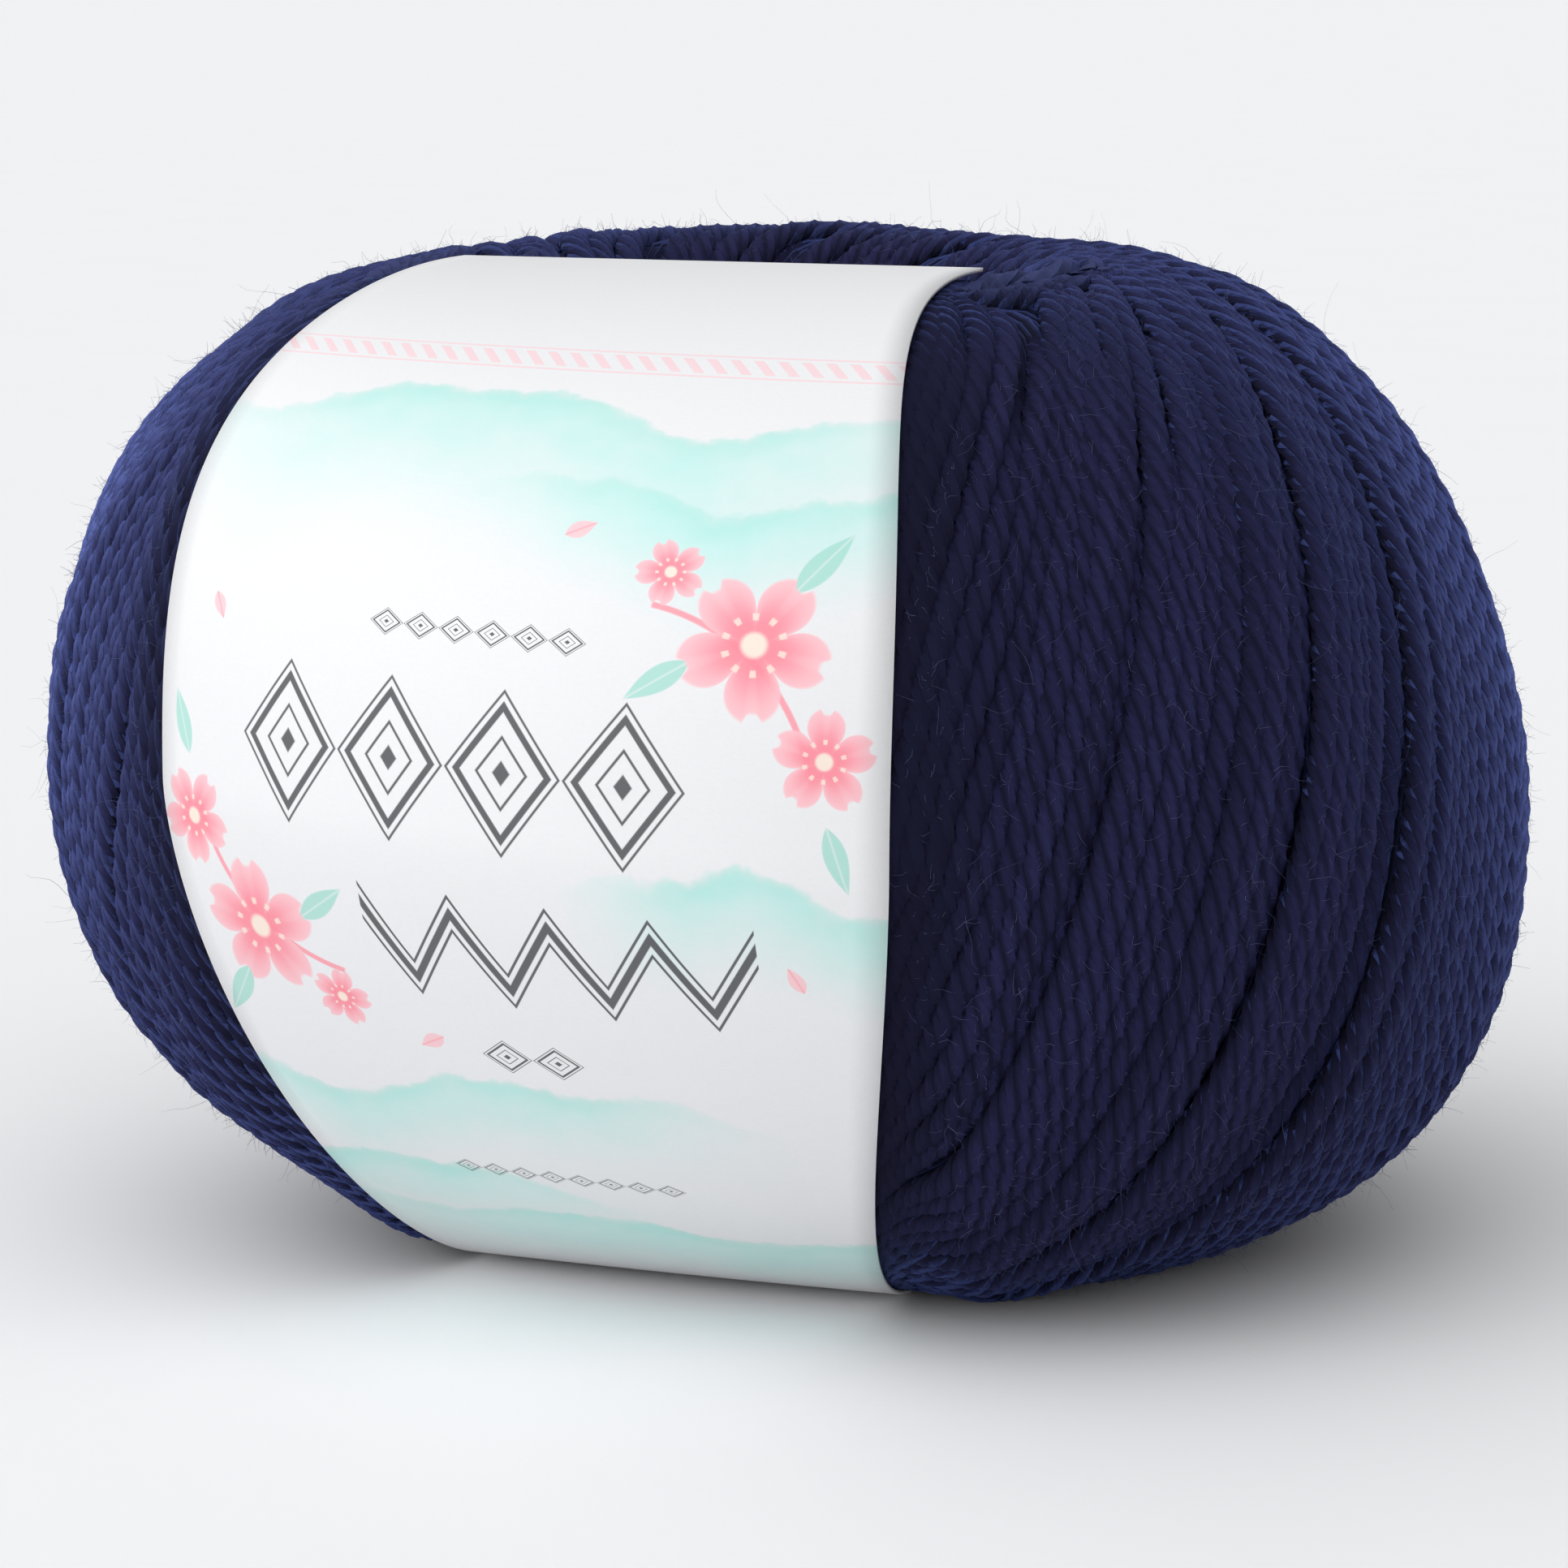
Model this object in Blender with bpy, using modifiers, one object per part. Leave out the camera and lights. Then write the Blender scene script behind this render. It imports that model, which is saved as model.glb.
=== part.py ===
"""A ball of plied wool with a paper band, at real size.

The ball is machine wound round a centre hole, so it is a soft, fat ring: each strand
climbs the outside on a slant, turns over the rim, goes down the hole and comes out again
underneath. The band is one strip of paper in a closed loop. It is widest in front, where it
hugs the ball, narrows over both rims and runs through the hole along its front wall, and it
draws the wool in as it goes.

Metres, +Z up. The origin is on the surface that the ball rests on, below the middle of the
ball, and the middle of the band faces -Y. Azimuths are measured from -Y towards +X.
"""

import math
import random

import bmesh
import bpy
from mathutils import Vector

# The wound ball
BALL_RADIUS = 0.0492
BALL_HEIGHT = 0.0667
WIDEST_HEIGHT = 0.032
CREST_RADIUS = 0.020
HOLE_RADIUS = 0.0105
MOUTH_DEPTH = 0.013
UPPER_FULLNESS = 2.0
LOWER_FULLNESS = 2.18
BASE_PRESSED = 0.0012
ROUND = 2

# The whole ball leans a little: its widest line is low on one side and high on the other
LEAN = 0.0036
LEAN_AZIMUTH = math.radians(112)

# Its foot is tucked in most on one side in front, and not at all on the side behind
TUCK = 0.0030
TUCK_AZIMUTH = math.radians(-30)
TUCK_LOWNESS = 1.7
TUCK_EASE = 1.5

# Steps round the section, which the ball and the band share, and round the hole
OUTSIDE_STEPS = 12
MOUTH_STEPS = 5
HOLE_STEPS = 4
SECTORS = 110

# The winding
TANGENT_RADIUS = 0.017
STEEPEST_SLANT = 0.85
STRAIGHTENING = 2
BUNDLES = 22
BUNDLE_RISE = 0.0007
LOWEST_BUNDLE = 0.6
BUNDLE_SEED = 7
WRAP_EDGE = 1.5
RISE_IN_HOLE = 0.2

# Wraps that lie on top of the others: azimuth at the widest line, half width, rise
WRAP_COLUMNS = ("azimuth", "half_width", "rise")
WRAPS = (
    (62, 0.0030, 0.0009),
    (54, 0.0026, 0.0008),
    (98, 0.0060, 0.0007),
    (152, 0.0040, 0.0009),
    (205, 0.0060, 0.0007),
    (262, 0.0035, 0.0009),
    (308, 0.0045, 0.0006),
)

# The paper band: places along its loop, on its outer face
BAND_THICKNESS = 0.0010
BAND_FRONT = 0.0504
BAND_FRONT_HEIGHT = 0.033
BAND_TOP = 0.0667
BAND_TOP_DISTANCE = 0.0120
BAND_BOTTOM = 0.0002
BAND_BOTTOM_DISTANCE = 0.0166
BAND_HOLE_DISTANCE = 0.0090
BAND_TURN_DEPTH = 0.0080
BAND_UPPER_FULLNESS = 2.33
BAND_LOWER_FULLNESS = 1.56
BAND_COLUMNS = 8

# Half the band's width, measured along the paper
BAND_HALF_FRONT = 0.0253
BAND_HALF_TOP = 0.0183
BAND_HALF_BOTTOM = 0.0153
BAND_HALF_HOLE = 0.0070
BAND_TOP_TAPER = 2.6
BAND_BOTTOM_TAPER = 2.0
NARROWING = 1.5
CURL_TAPER = 2

FLAT_CURVATURE = 1e-6
MOST_BENT = 0.98
SHARP_EDGE = math.radians(40)

# How the wool gives way to the band: fully within a margin beside it, then less and less
BAND_CLEARANCE = 0.0008
SQUEEZE_MARGIN = 0.0018
SQUEEZE_SHOULDER = 0.0045
SQUEEZE_REACH = 0.0040

WOOL_NAVY = (0.016, 0.020, 0.075, 1.0)
WOOL_ROUGHNESS = 0.9
PAPER_WHITE = (0.86, 0.90, 0.90, 1.0)
PAPER_ROUGHNESS = 0.45


def clear_scene():
    for old in list(bpy.data.objects):
        bpy.data.objects.remove(old, do_unlink=True)


def material(name, colour, roughness):
    made = bpy.data.materials.new(name)
    made.use_nodes = True
    shader = made.node_tree.nodes["Principled BSDF"]
    shader.inputs["Base Color"].default_value = colour
    shader.inputs["Roughness"].default_value = roughness
    shader.inputs["Metallic"].default_value = 0.0
    return made


def smooth(value):
    """0 below 0, 1 above 1, and a smooth step between."""
    value = min(max(value, 0.0), 1.0)
    return value * value * (3 - 2 * value)


def full_quarter(inner, outer, low, high, fullness, step):
    """A point (distance, height) on a rounded quarter: at step 0 it is out at `outer` and
    `low`, and at step 1 it is in at `inner` and `high`."""
    turn = step * math.pi / 2
    distance = inner + (outer - inner) * math.cos(turn) ** (2 / fullness)
    height = low + (high - low) * math.sin(turn) ** (2 / fullness)
    return distance, height


def leant(point):
    """Shear the point up or down, most at mid-height and not at all at the base and top."""
    share = min(max(point.z / BALL_HEIGHT, 0.0), 1.0)
    along = point.x * math.sin(LEAN_AZIMUTH) - point.y * math.cos(LEAN_AZIMUTH)
    drop = LEAN * 4 * share * (1 - share) * along / BALL_RADIUS
    return Vector((point.x, point.y, point.z - drop))


def tuck(stretch, share, azimuth):
    """How far the ball is drawn in at this step of its outline, nothing at its widest line
    and at its lowest circle."""
    if stretch != "lower":
        return 0.0
    side = (1 + math.cos(azimuth - TUCK_AZIMUTH)) / 2
    return TUCK * side * math.sin(math.pi * share ** TUCK_LOWNESS) ** TUCK_EASE


# ---- the two outlines, step by step ------------------------------------------------------


def section_steps():
    """The steps round the section, from the lowest circle up the outside, over the rim, down
    the hole and back underneath, each as (stretch, share of that stretch)."""
    outside = [i / OUTSIDE_STEPS for i in range(OUTSIDE_STEPS)]
    mouth = [i / MOUTH_STEPS for i in range(MOUTH_STEPS)]
    hole = [i / HOLE_STEPS for i in range(HOLE_STEPS)]
    return ([("lower", 1 - share) for share in outside]
            + [("upper", share) for share in outside]
            + [("mouth", 1 - share) for share in mouth]
            + [("hole", share) for share in hole]
            + [("foot", share) for share in mouth])


def ball_row(stretch, share):
    """The ball's outline at this step, as (radius, height)."""
    mouth_end = BALL_HEIGHT - MOUTH_DEPTH
    foot_end = MOUTH_DEPTH - BASE_PRESSED
    if stretch == "lower":
        return full_quarter(CREST_RADIUS, BALL_RADIUS, WIDEST_HEIGHT, -BASE_PRESSED,
                            LOWER_FULLNESS, share)
    if stretch == "upper":
        return full_quarter(CREST_RADIUS, BALL_RADIUS, WIDEST_HEIGHT, BALL_HEIGHT,
                            UPPER_FULLNESS, share)
    if stretch == "mouth":
        return full_quarter(CREST_RADIUS, HOLE_RADIUS, mouth_end, BALL_HEIGHT, ROUND, share)
    if stretch == "foot":
        return full_quarter(CREST_RADIUS, HOLE_RADIUS, foot_end, -BASE_PRESSED, ROUND, share)
    return HOLE_RADIUS, mouth_end + (foot_end - mouth_end) * share


def band_row(stretch, share):
    """The band's outer face at this step, as (distance in front of the axis, height, half
    width, curvature across)."""
    bent = math.cos(share * math.pi / 2) / BAND_FRONT
    in_hole = 1 / BAND_HOLE_DISTANCE
    if stretch == "lower":
        place = full_quarter(BAND_BOTTOM_DISTANCE, BAND_FRONT, BAND_FRONT_HEIGHT, BAND_BOTTOM,
                             BAND_LOWER_FULLNESS, share)
        narrowed = math.sin(share * math.pi / 2) ** BAND_BOTTOM_TAPER
        return *place, BAND_HALF_FRONT + (BAND_HALF_BOTTOM - BAND_HALF_FRONT) * narrowed, bent
    if stretch == "upper":
        place = full_quarter(BAND_TOP_DISTANCE, BAND_FRONT, BAND_FRONT_HEIGHT, BAND_TOP,
                             BAND_UPPER_FULLNESS, share)
        narrowed = math.sin(share * math.pi / 2) ** BAND_TOP_TAPER
        return *place, BAND_HALF_FRONT + (BAND_HALF_TOP - BAND_HALF_FRONT) * narrowed, bent
    turned = smooth((1 - share) * NARROWING)
    curled = in_hole * (1 - share) ** CURL_TAPER
    if stretch == "mouth":
        place = full_quarter(BAND_TOP_DISTANCE, BAND_HOLE_DISTANCE,
                             BAND_TOP - BAND_TURN_DEPTH, BAND_TOP, ROUND, share)
        return *place, BAND_HALF_TOP + (BAND_HALF_HOLE - BAND_HALF_TOP) * turned, curled
    if stretch == "foot":
        place = full_quarter(BAND_BOTTOM_DISTANCE, BAND_HOLE_DISTANCE,
                             BAND_BOTTOM + BAND_TURN_DEPTH, BAND_BOTTOM, ROUND, share)
        return *place, BAND_HALF_BOTTOM + (BAND_HALF_HOLE - BAND_HALF_BOTTOM) * turned, curled
    top, bottom = BAND_TOP - BAND_TURN_DEPTH, BAND_BOTTOM + BAND_TURN_DEPTH
    return BAND_HOLE_DISTANCE, top + (bottom - top) * share, BAND_HALF_HOLE, in_hole


def band_place(distance, height, curvature, aside):
    """The point of the band that lies `aside` of its middle, seen from the front."""
    bent = min(abs(aside) * curvature, MOST_BENT)
    if bent < FLAT_CURVATURE:
        return Vector((aside, -distance, height))
    back = (1 - math.sqrt(1 - bent * bent)) / curvature
    return Vector((aside, back - distance, height))


def beds(band_rows):
    """Where the wool lies under the band at each step, as (distance, height, curvature, half
    width): inside the band's outer face by its thickness and a gap, bent round the same axis,
    and as wide as the band is from the step before to the step after."""
    depth = BAND_THICKNESS + BAND_CLEARANCE
    places = []
    for before, row, after in zip(band_rows[-1:] + band_rows, band_rows,
                                  band_rows[1:] + band_rows[:1]):
        along = Vector((after[0] - before[0], after[1] - before[1])).normalized()
        distance = row[0] - along.y * depth
        curvature = row[3] / (1 - row[3] * (row[0] - distance))
        half = max(before[2], row[2], after[2])
        places.append((distance, row[1] + along.x * depth, curvature, half))
    return places


# ---- the winding -------------------------------------------------------------------------


def slant(radius, outside):
    """The tangent of the angle between a strand and the upright direction.

    Outside, a taut strand keeps radius times the angle's sine the same, so that it would
    graze a circle of TANGENT_RADIUS. In the hole it straightens."""
    if outside:
        sine = TANGENT_RADIUS / radius
    else:
        sine = STEEPEST_SLANT * (radius / CREST_RADIUS) ** STRAIGHTENING
    sine = min(sine, STEEPEST_SLANT)
    return sine / math.sqrt(1 - sine * sine)


def sweeps(steps, outline):
    """How far round a strand has gone at each step, from the widest line."""
    turned = [0.0]
    for (r0, z0), (r1, z1), (stretch, _) in zip(outline, outline[1:], steps[1:]):
        middle = (r0 + r1) / 2
        length = math.hypot(r1 - r0, z1 - z0)
        outside = stretch in ("lower", "upper")
        turned.append(turned[-1] + slant(middle, outside) * length / middle)
    at_widest = turned[OUTSIDE_STEPS]
    return [turn - at_widest for turn in turned]


def bundle_rises():
    chance = random.Random(BUNDLE_SEED)
    return [BUNDLE_RISE * chance.uniform(LOWEST_BUNDLE, 1.0) for _ in range(BUNDLES)]


def winding_rise(azimuth, radius, rises):
    """How far the strands' bundles and top wraps stand out, at this azimuth of the widest
    line. A bundle is round on top with a sharp valley on each side."""
    place = (azimuth / math.tau * BUNDLES) % BUNDLES
    rise = rises[int(place) % BUNDLES] * math.sin(math.pi * (place % 1))
    for row in WRAPS:
        wrap = dict(zip(WRAP_COLUMNS, row))
        off = (azimuth - math.radians(wrap["azimuth"]) + math.pi) % math.tau - math.pi
        across = abs(off) * radius / wrap["half_width"]
        rise += wrap["rise"] * smooth(WRAP_EDGE - across)
    return rise * min(1.0, radius / BALL_RADIUS + RISE_IN_HOLE)


# ---- the two pieces ----------------------------------------------------------------------


def wool_ball(collection):
    """The outline turned round the hole, its bundles raised, and the band's grip drawn in."""
    steps = section_steps()
    outline = [ball_row(*step) for step in steps]
    bedded = beds([band_row(*step) for step in steps])
    turned = sweeps(steps, outline)
    rises = bundle_rises()
    mesh = bmesh.new()
    ring = [mesh.verts.new((0, -radius, height)) for radius, height in outline]
    edges = [mesh.edges.new((a, b)) for a, b in zip(ring, ring[1:] + ring[:1])]
    bmesh.ops.spin(mesh, geom=ring + edges, cent=(0, 0, 0), axis=(0, 0, 1),
                   angle=math.tau, steps=SECTORS, use_merge=True)
    bmesh.ops.recalc_face_normals(mesh, faces=mesh.faces)
    mesh.normal_update()
    moves = []
    for vert in mesh.verts:
        radius = math.hypot(vert.co.x, vert.co.y)
        row = min(range(len(outline)),
                  key=lambda i: math.dist(outline[i], (radius, vert.co.z)))
        azimuth = math.atan2(vert.co.x, -vert.co.y)
        rise = winding_rise((azimuth - turned[row]) % math.tau, radius, rises)
        place = vert.co + vert.normal * (rise - tuck(*steps[row], azimuth))
        *bed, half = bedded[row]
        beside = (abs(place.x) - half - SQUEEZE_MARGIN) / SQUEEZE_SHOULDER
        beside = max(beside, 1 + place.y / SQUEEZE_REACH)
        if beside < 1:
            place = band_place(*bed, place.x).lerp(place, smooth(beside))
        moves.append((vert, leant(place)))
    for vert, place in moves:
        vert.co = Vector((place.x, place.y, max(place.z, 0.0)))
    data = bpy.data.meshes.new("wool_ball")
    mesh.to_mesh(data)
    mesh.free()
    ball = bpy.data.objects.new("wool_ball", data)
    collection.objects.link(ball)
    data.materials.append(material("navy_wool", WOOL_NAVY, WOOL_ROUGHNESS))
    data.shade_smooth()
    return ball


def paper_band(collection):
    """The band's outer face as a closed strip, made thick inwards."""
    mesh = bmesh.new()
    grid = []
    for distance, height, half, curvature in [band_row(*step) for step in section_steps()]:
        line = []
        for i in range(BAND_COLUMNS + 1):
            arc = (2 * i / BAND_COLUMNS - 1) * half
            aside = math.sin(arc * curvature) / curvature if curvature > FLAT_CURVATURE else arc
            line.append(mesh.verts.new(leant(band_place(distance, height, curvature, aside))))
        grid.append(line)
    for lower, upper in zip(grid, grid[1:] + grid[:1]):
        for i in range(BAND_COLUMNS):
            mesh.faces.new((lower[i], lower[i + 1], upper[i + 1], upper[i]))
    data = bpy.data.meshes.new("paper_band")
    mesh.to_mesh(data)
    mesh.free()
    band = bpy.data.objects.new("paper_band", data)
    collection.objects.link(band)
    data.materials.append(material("band_paper", PAPER_WHITE, PAPER_ROUGHNESS))
    data.shade_smooth()
    data.set_sharp_from_angle(angle=SHARP_EDGE)
    thick = band.modifiers.new("thickness", "SOLIDIFY")
    thick.thickness = BAND_THICKNESS
    thick.offset = -1
    return band


def main():
    clear_scene()
    collection = bpy.data.collections.new("wool_ball_with_band")
    bpy.context.scene.collection.children.link(collection)
    wool_ball(collection)
    paper_band(collection)


main()
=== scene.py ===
"""The looks of a ball of plied navy wool with a printed paper band.

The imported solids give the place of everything. Over them this script lays the single strands
of wool, each a twist of four plies that climbs the outside on a slant, crowds at the rims and
goes down the centre hole, then a halo of loose fibres, and a thin printed band.

Metres, +Z up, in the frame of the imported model. Azimuths are measured from -Y, which the
middle of the band faces, towards +X.
"""

import math
from types import SimpleNamespace

import bmesh
import bpy
import numpy as np
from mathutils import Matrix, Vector

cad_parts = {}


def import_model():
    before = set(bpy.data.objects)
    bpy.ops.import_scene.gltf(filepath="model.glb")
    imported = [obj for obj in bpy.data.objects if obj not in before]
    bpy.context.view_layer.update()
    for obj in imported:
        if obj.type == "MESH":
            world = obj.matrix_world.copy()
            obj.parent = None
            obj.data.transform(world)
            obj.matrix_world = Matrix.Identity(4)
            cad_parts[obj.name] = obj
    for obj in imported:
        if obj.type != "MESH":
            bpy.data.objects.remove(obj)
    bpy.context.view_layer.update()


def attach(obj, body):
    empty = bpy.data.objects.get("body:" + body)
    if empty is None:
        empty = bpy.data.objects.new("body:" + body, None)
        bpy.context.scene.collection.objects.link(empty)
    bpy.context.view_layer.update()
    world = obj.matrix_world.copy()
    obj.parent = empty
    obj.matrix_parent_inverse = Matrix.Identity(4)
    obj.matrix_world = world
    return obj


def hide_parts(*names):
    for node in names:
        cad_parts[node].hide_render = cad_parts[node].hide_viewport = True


# ---- the wound form: the same driving sizes as the solids ----

BALL_RADIUS = 0.0492
BALL_HEIGHT = 0.0667
WIDEST_HEIGHT = 0.032
CREST_RADIUS = 0.020
HOLE_RADIUS = 0.0105
MOUTH_DEPTH = 0.013
UPPER_FULLNESS = 2.0
LOWER_FULLNESS = 2.18
BASE_PRESSED = 0.0012
ROUND = 2
LEAN = 0.0036
LEAN_AZIMUTH = math.radians(112)
TUCK = 0.0030
TUCK_AZIMUTH = math.radians(-30)
TUCK_LOWNESS = 1.7
TUCK_EASE = 1.5

TANGENT_RADIUS = 0.016
LOW_TANGENT_RADIUS = 0.0095
LOW_TURN_SHARE = 0.8
STEEPEST_SLANT = 0.80
STRAIGHTENING = 2

BUNDLES = 22
BUNDLE_RISE = 0.0006
LOWEST_BUNDLE = 0.6
WRAP_EDGE = 1.5
RISE_FADE = 1.6

# The far side of the crest stands a little higher
FAR_CREST_LIFT = 0.0007
FAR_CREST_AZIMUTH = math.radians(208)
FAR_CREST_NARROWNESS = 2

# Wraps that lie on top of the others, the wide ones as in the solids, and narrow gaps between
# bundles that show as dark lines: azimuth at the widest line, half width, rise
WRAP_COLUMNS = ("azimuth", "half_width", "rise")
WRAPS = (
    (62, 0.0030, 0.0009),
    (54, 0.0026, 0.0008),
    (98, 0.0060, 0.0007),
    (152, 0.0040, 0.0009),
    (205, 0.0060, 0.0007),
    (262, 0.0035, 0.0009),
    (308, 0.0045, 0.0006),
    (58.3, 0.0007, -0.0010),
    (50.6, 0.0007, -0.0008),
    (42, 0.0007, -0.0010),
    (70.5, 0.0012, -0.0012),
    (73.2, 0.0011, 0.0005),
    (76.0, 0.0010, -0.0012),
    (113, 0.0008, -0.0009),
    (168, 0.0008, -0.0010),
    (222, 0.0008, -0.0010),
    (275, 0.0008, -0.0010),
    (322, 0.0008, -0.0009),
)

# ---- the strands ----

STRANDS = 196
STRAND_HALF_WIDE = 0.00112
STRAND_HALF_DEEP = 0.00086
STRAND_SIZES = (0.93, 1.07)
PLIES = 4
PLY_CORNERS = 2
PLY_VALLEY = 0.86
LAY = 0.0090
RING_STEP = 0.00068
HOLE_RING_STEP = 0.00120
HOLE_RING_SHARE = 0.8
STRAND_SEED = 3
STRAND_PIECES = 4
STRETCH_POINTS = 80
FLOOR_GAP = 0.00002

# Strands crowd where the ball narrows. Of each five neighbours the last ones sink under the
# others first, as soon as the room for each strand is less than theirs. All but the first two
# are left out where they lie deepest.
RANKS = 5
STRAND_ROOM = 0.00132
SINK_SPAN = 0.3
SINK_DEPTH = 0.0017
# Painted shade on sunk strands, as a share of how far they have sunk
SUNK_SHADE = 0.8
RANKS_IN_HOLE = 2
DEEPEST_SHOWN = 0.97

# Painted shade: a strand's colour darkens down its sides, towards its neighbours
SIDE_SHADE = 0.85
SIDE_SHADE_START = 0.80
SIDE_SHADE_SPAN = 0.65

# The wool that the band presses in, close beside its edges, lies in shade
PRESSED_SHADE = 0.70

# Neighbouring strands are laid in turns of a few at a time, and each such lay strays a little
# from the others: fewest and most strands, rise, sideways stray and its lengths, extra slant
LAY_STRANDS = (2, 7)
LAY_RISE = 0.00020
LAY_STRAY = 0.00022
LAY_WAVES = (0.067, 0.101, 0.157)
LAY_SLANT = 0.004

# The closest and the widest that neighbours may lie, as shares of the even distance
CLOSEST = 0.55
WIDEST = 1.22

# Each strand wanders a little inside its lay: sideways, up and down, and its lengths
STRAND_STRAY = 0.00013
STRAND_RISE = 0.00015
STRAND_WAVES = (0.019, 0.031, 0.053)

# The loose fibres round a strand blur its shading towards that of the whole ball
SHADING_SOFTNESS = 0.72

# Under the band the strands stop this far behind its edges, and shorter lengths are left out
BAND_COVER = 0.0035
FEWEST_RINGS = 6

# ---- the paper band ----

PAPER_THICKNESS = 0.00025
PAPER_GAP = 0.00010
BAND_FRONT = 0.0504
BAND_FRONT_HEIGHT = 0.033
BAND_TOP = 0.0667
BAND_TOP_DISTANCE = 0.0120
BAND_BOTTOM = 0.0002
BAND_BOTTOM_DISTANCE = 0.0166
BAND_HOLE_DISTANCE = 0.0090
BAND_TURN_DEPTH = 0.0080
BAND_UPPER_FULLNESS = 2.33
BAND_LOWER_FULLNESS = 1.56
BAND_HALF_FRONT = 0.0253
BAND_HALF_TOP = 0.0183
BAND_HALF_BOTTOM = 0.0153
BAND_HALF_HOLE = 0.0070
BAND_TOP_TAPER = 2.6
BAND_BOTTOM_TAPER = 2.0
NARROWING = 1.5
CURL_TAPER = 2
FLAT_CURVATURE = 1e-6
MOST_BENT = 0.98
BED_FINENESS = 3
BED_DRIFT_COST = 0.00001
BED_EASE = 9

SQUEEZE_MARGIN = 0.0006
SQUEEZE_SHOULDER = 0.0050
SQUEEZE_REACH = 0.0040

MM = 0.001


# ---- small helpers ----


def smooth(value):
    """0 below 0, 1 above 1, and a smooth step between."""
    value = np.clip(value, 0.0, 1.0)
    return value * value * (3 - 2 * value)


def unit(vectors):
    return vectors / np.linalg.norm(vectors, axis=-1, keepdims=True)


def full_quarter(inner, outer, low, high, fullness, step):
    """A point (distance, height) on a rounded quarter: at step 0 it is out at `outer` and
    `low`, and at step 1 it is in at `inner` and `high`."""
    turn = step * math.pi / 2
    distance = inner + (outer - inner) * max(math.cos(turn), 0.0) ** (2 / fullness)
    height = low + (high - low) * math.sin(turn) ** (2 / fullness)
    return distance, height


def leant(points):
    """Shear the points up or down, most at mid-height and not at all at the base and top."""
    share = np.clip(points[..., 2] / BALL_HEIGHT, 0.0, 1.0)
    along = points[..., 0] * math.sin(LEAN_AZIMUTH) - points[..., 1] * math.cos(LEAN_AZIMUTH)
    moved = points.copy()
    moved[..., 2] -= LEAN * 4 * share * (1 - share) * along / BALL_RADIUS
    return moved


# ---- the section of the ball and of the band ----


def ball_row(stretch, share):
    """The ball's outline at this step, as (radius, height)."""
    mouth_end, foot_end = BALL_HEIGHT - MOUTH_DEPTH, MOUTH_DEPTH - BASE_PRESSED
    if stretch == "hole":
        return HOLE_RADIUS, mouth_end + (foot_end - mouth_end) * share
    quarters = {"lower": (BALL_RADIUS, WIDEST_HEIGHT, -BASE_PRESSED, LOWER_FULLNESS),
                "upper": (BALL_RADIUS, WIDEST_HEIGHT, BALL_HEIGHT, UPPER_FULLNESS),
                "mouth": (HOLE_RADIUS, mouth_end, BALL_HEIGHT, ROUND),
                "foot": (HOLE_RADIUS, foot_end, -BASE_PRESSED, ROUND)}
    return full_quarter(CREST_RADIUS, *quarters[stretch], share)


def tuck(stretch, share):
    """How far the ball is drawn in at this step, on the side where it is drawn in most."""
    if stretch != "lower":
        return 0.0
    return TUCK * math.sin(math.pi * share ** TUCK_LOWNESS) ** TUCK_EASE


def band_row(stretch, share):
    """The band's outer face at this step, as (distance in front of the axis, height, half
    width, curvature across)."""
    top, bottom = BAND_TOP - BAND_TURN_DEPTH, BAND_BOTTOM + BAND_TURN_DEPTH
    in_hole = 1 / BAND_HOLE_DISTANCE
    if stretch == "hole":
        return BAND_HOLE_DISTANCE, top + (bottom - top) * share, BAND_HALF_HOLE, in_hole
    if stretch in ("lower", "foot"):
        distance, height, half, turn_end = BAND_BOTTOM_DISTANCE, BAND_BOTTOM, BAND_HALF_BOTTOM, bottom
        fullness, taper = BAND_LOWER_FULLNESS, BAND_BOTTOM_TAPER
    else:
        distance, height, half, turn_end = BAND_TOP_DISTANCE, BAND_TOP, BAND_HALF_TOP, top
        fullness, taper = BAND_UPPER_FULLNESS, BAND_TOP_TAPER
    if stretch in ("lower", "upper"):
        place = full_quarter(distance, BAND_FRONT, BAND_FRONT_HEIGHT, height, fullness, share)
        narrowed = math.sin(share * math.pi / 2) ** taper
        bent = math.cos(share * math.pi / 2) / BAND_FRONT
        return *place, BAND_HALF_FRONT + (half - BAND_HALF_FRONT) * narrowed, bent
    place = full_quarter(distance, BAND_HOLE_DISTANCE, turn_end, height, ROUND, share)
    turned = float(smooth((1 - share) * NARROWING))
    curled = in_hole * (1 - share) ** CURL_TAPER
    return *place, half + (BAND_HALF_HOLE - half) * turned, curled


def band_points(distance, height, curvature, aside):
    """The points of the band that lie `aside` of its middle, seen from the front."""
    curvature = np.maximum(curvature, FLAT_CURVATURE)
    bent = np.minimum(np.abs(aside) * curvature, MOST_BENT)
    back = (1 - np.sqrt(1 - bent * bent)) / curvature
    return np.stack(np.broadcast_arrays(aside, back - distance, height), -1)


# Once round the section, from halfway down the hole, out underneath, up the outside, over the
# rim and back down: each stretch, and the shares of it where it is entered and left
LOOP = (("hole", 0.5, 1), ("foot", 0, 1), ("lower", 1, 0), ("upper", 0, 1), ("mouth", 1, 0),
        ("hole", 0, 0.5))


def loop_steps():
    """Fine steps once round the section, each as (stretch, share of that stretch)."""
    run = np.linspace(0, 1, STRETCH_POINTS, endpoint=False)
    steps = [(stretch, entered + (left - entered) * share)
             for stretch, entered, left in LOOP for share in run]
    return steps + [("hole", 0.5)]


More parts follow.
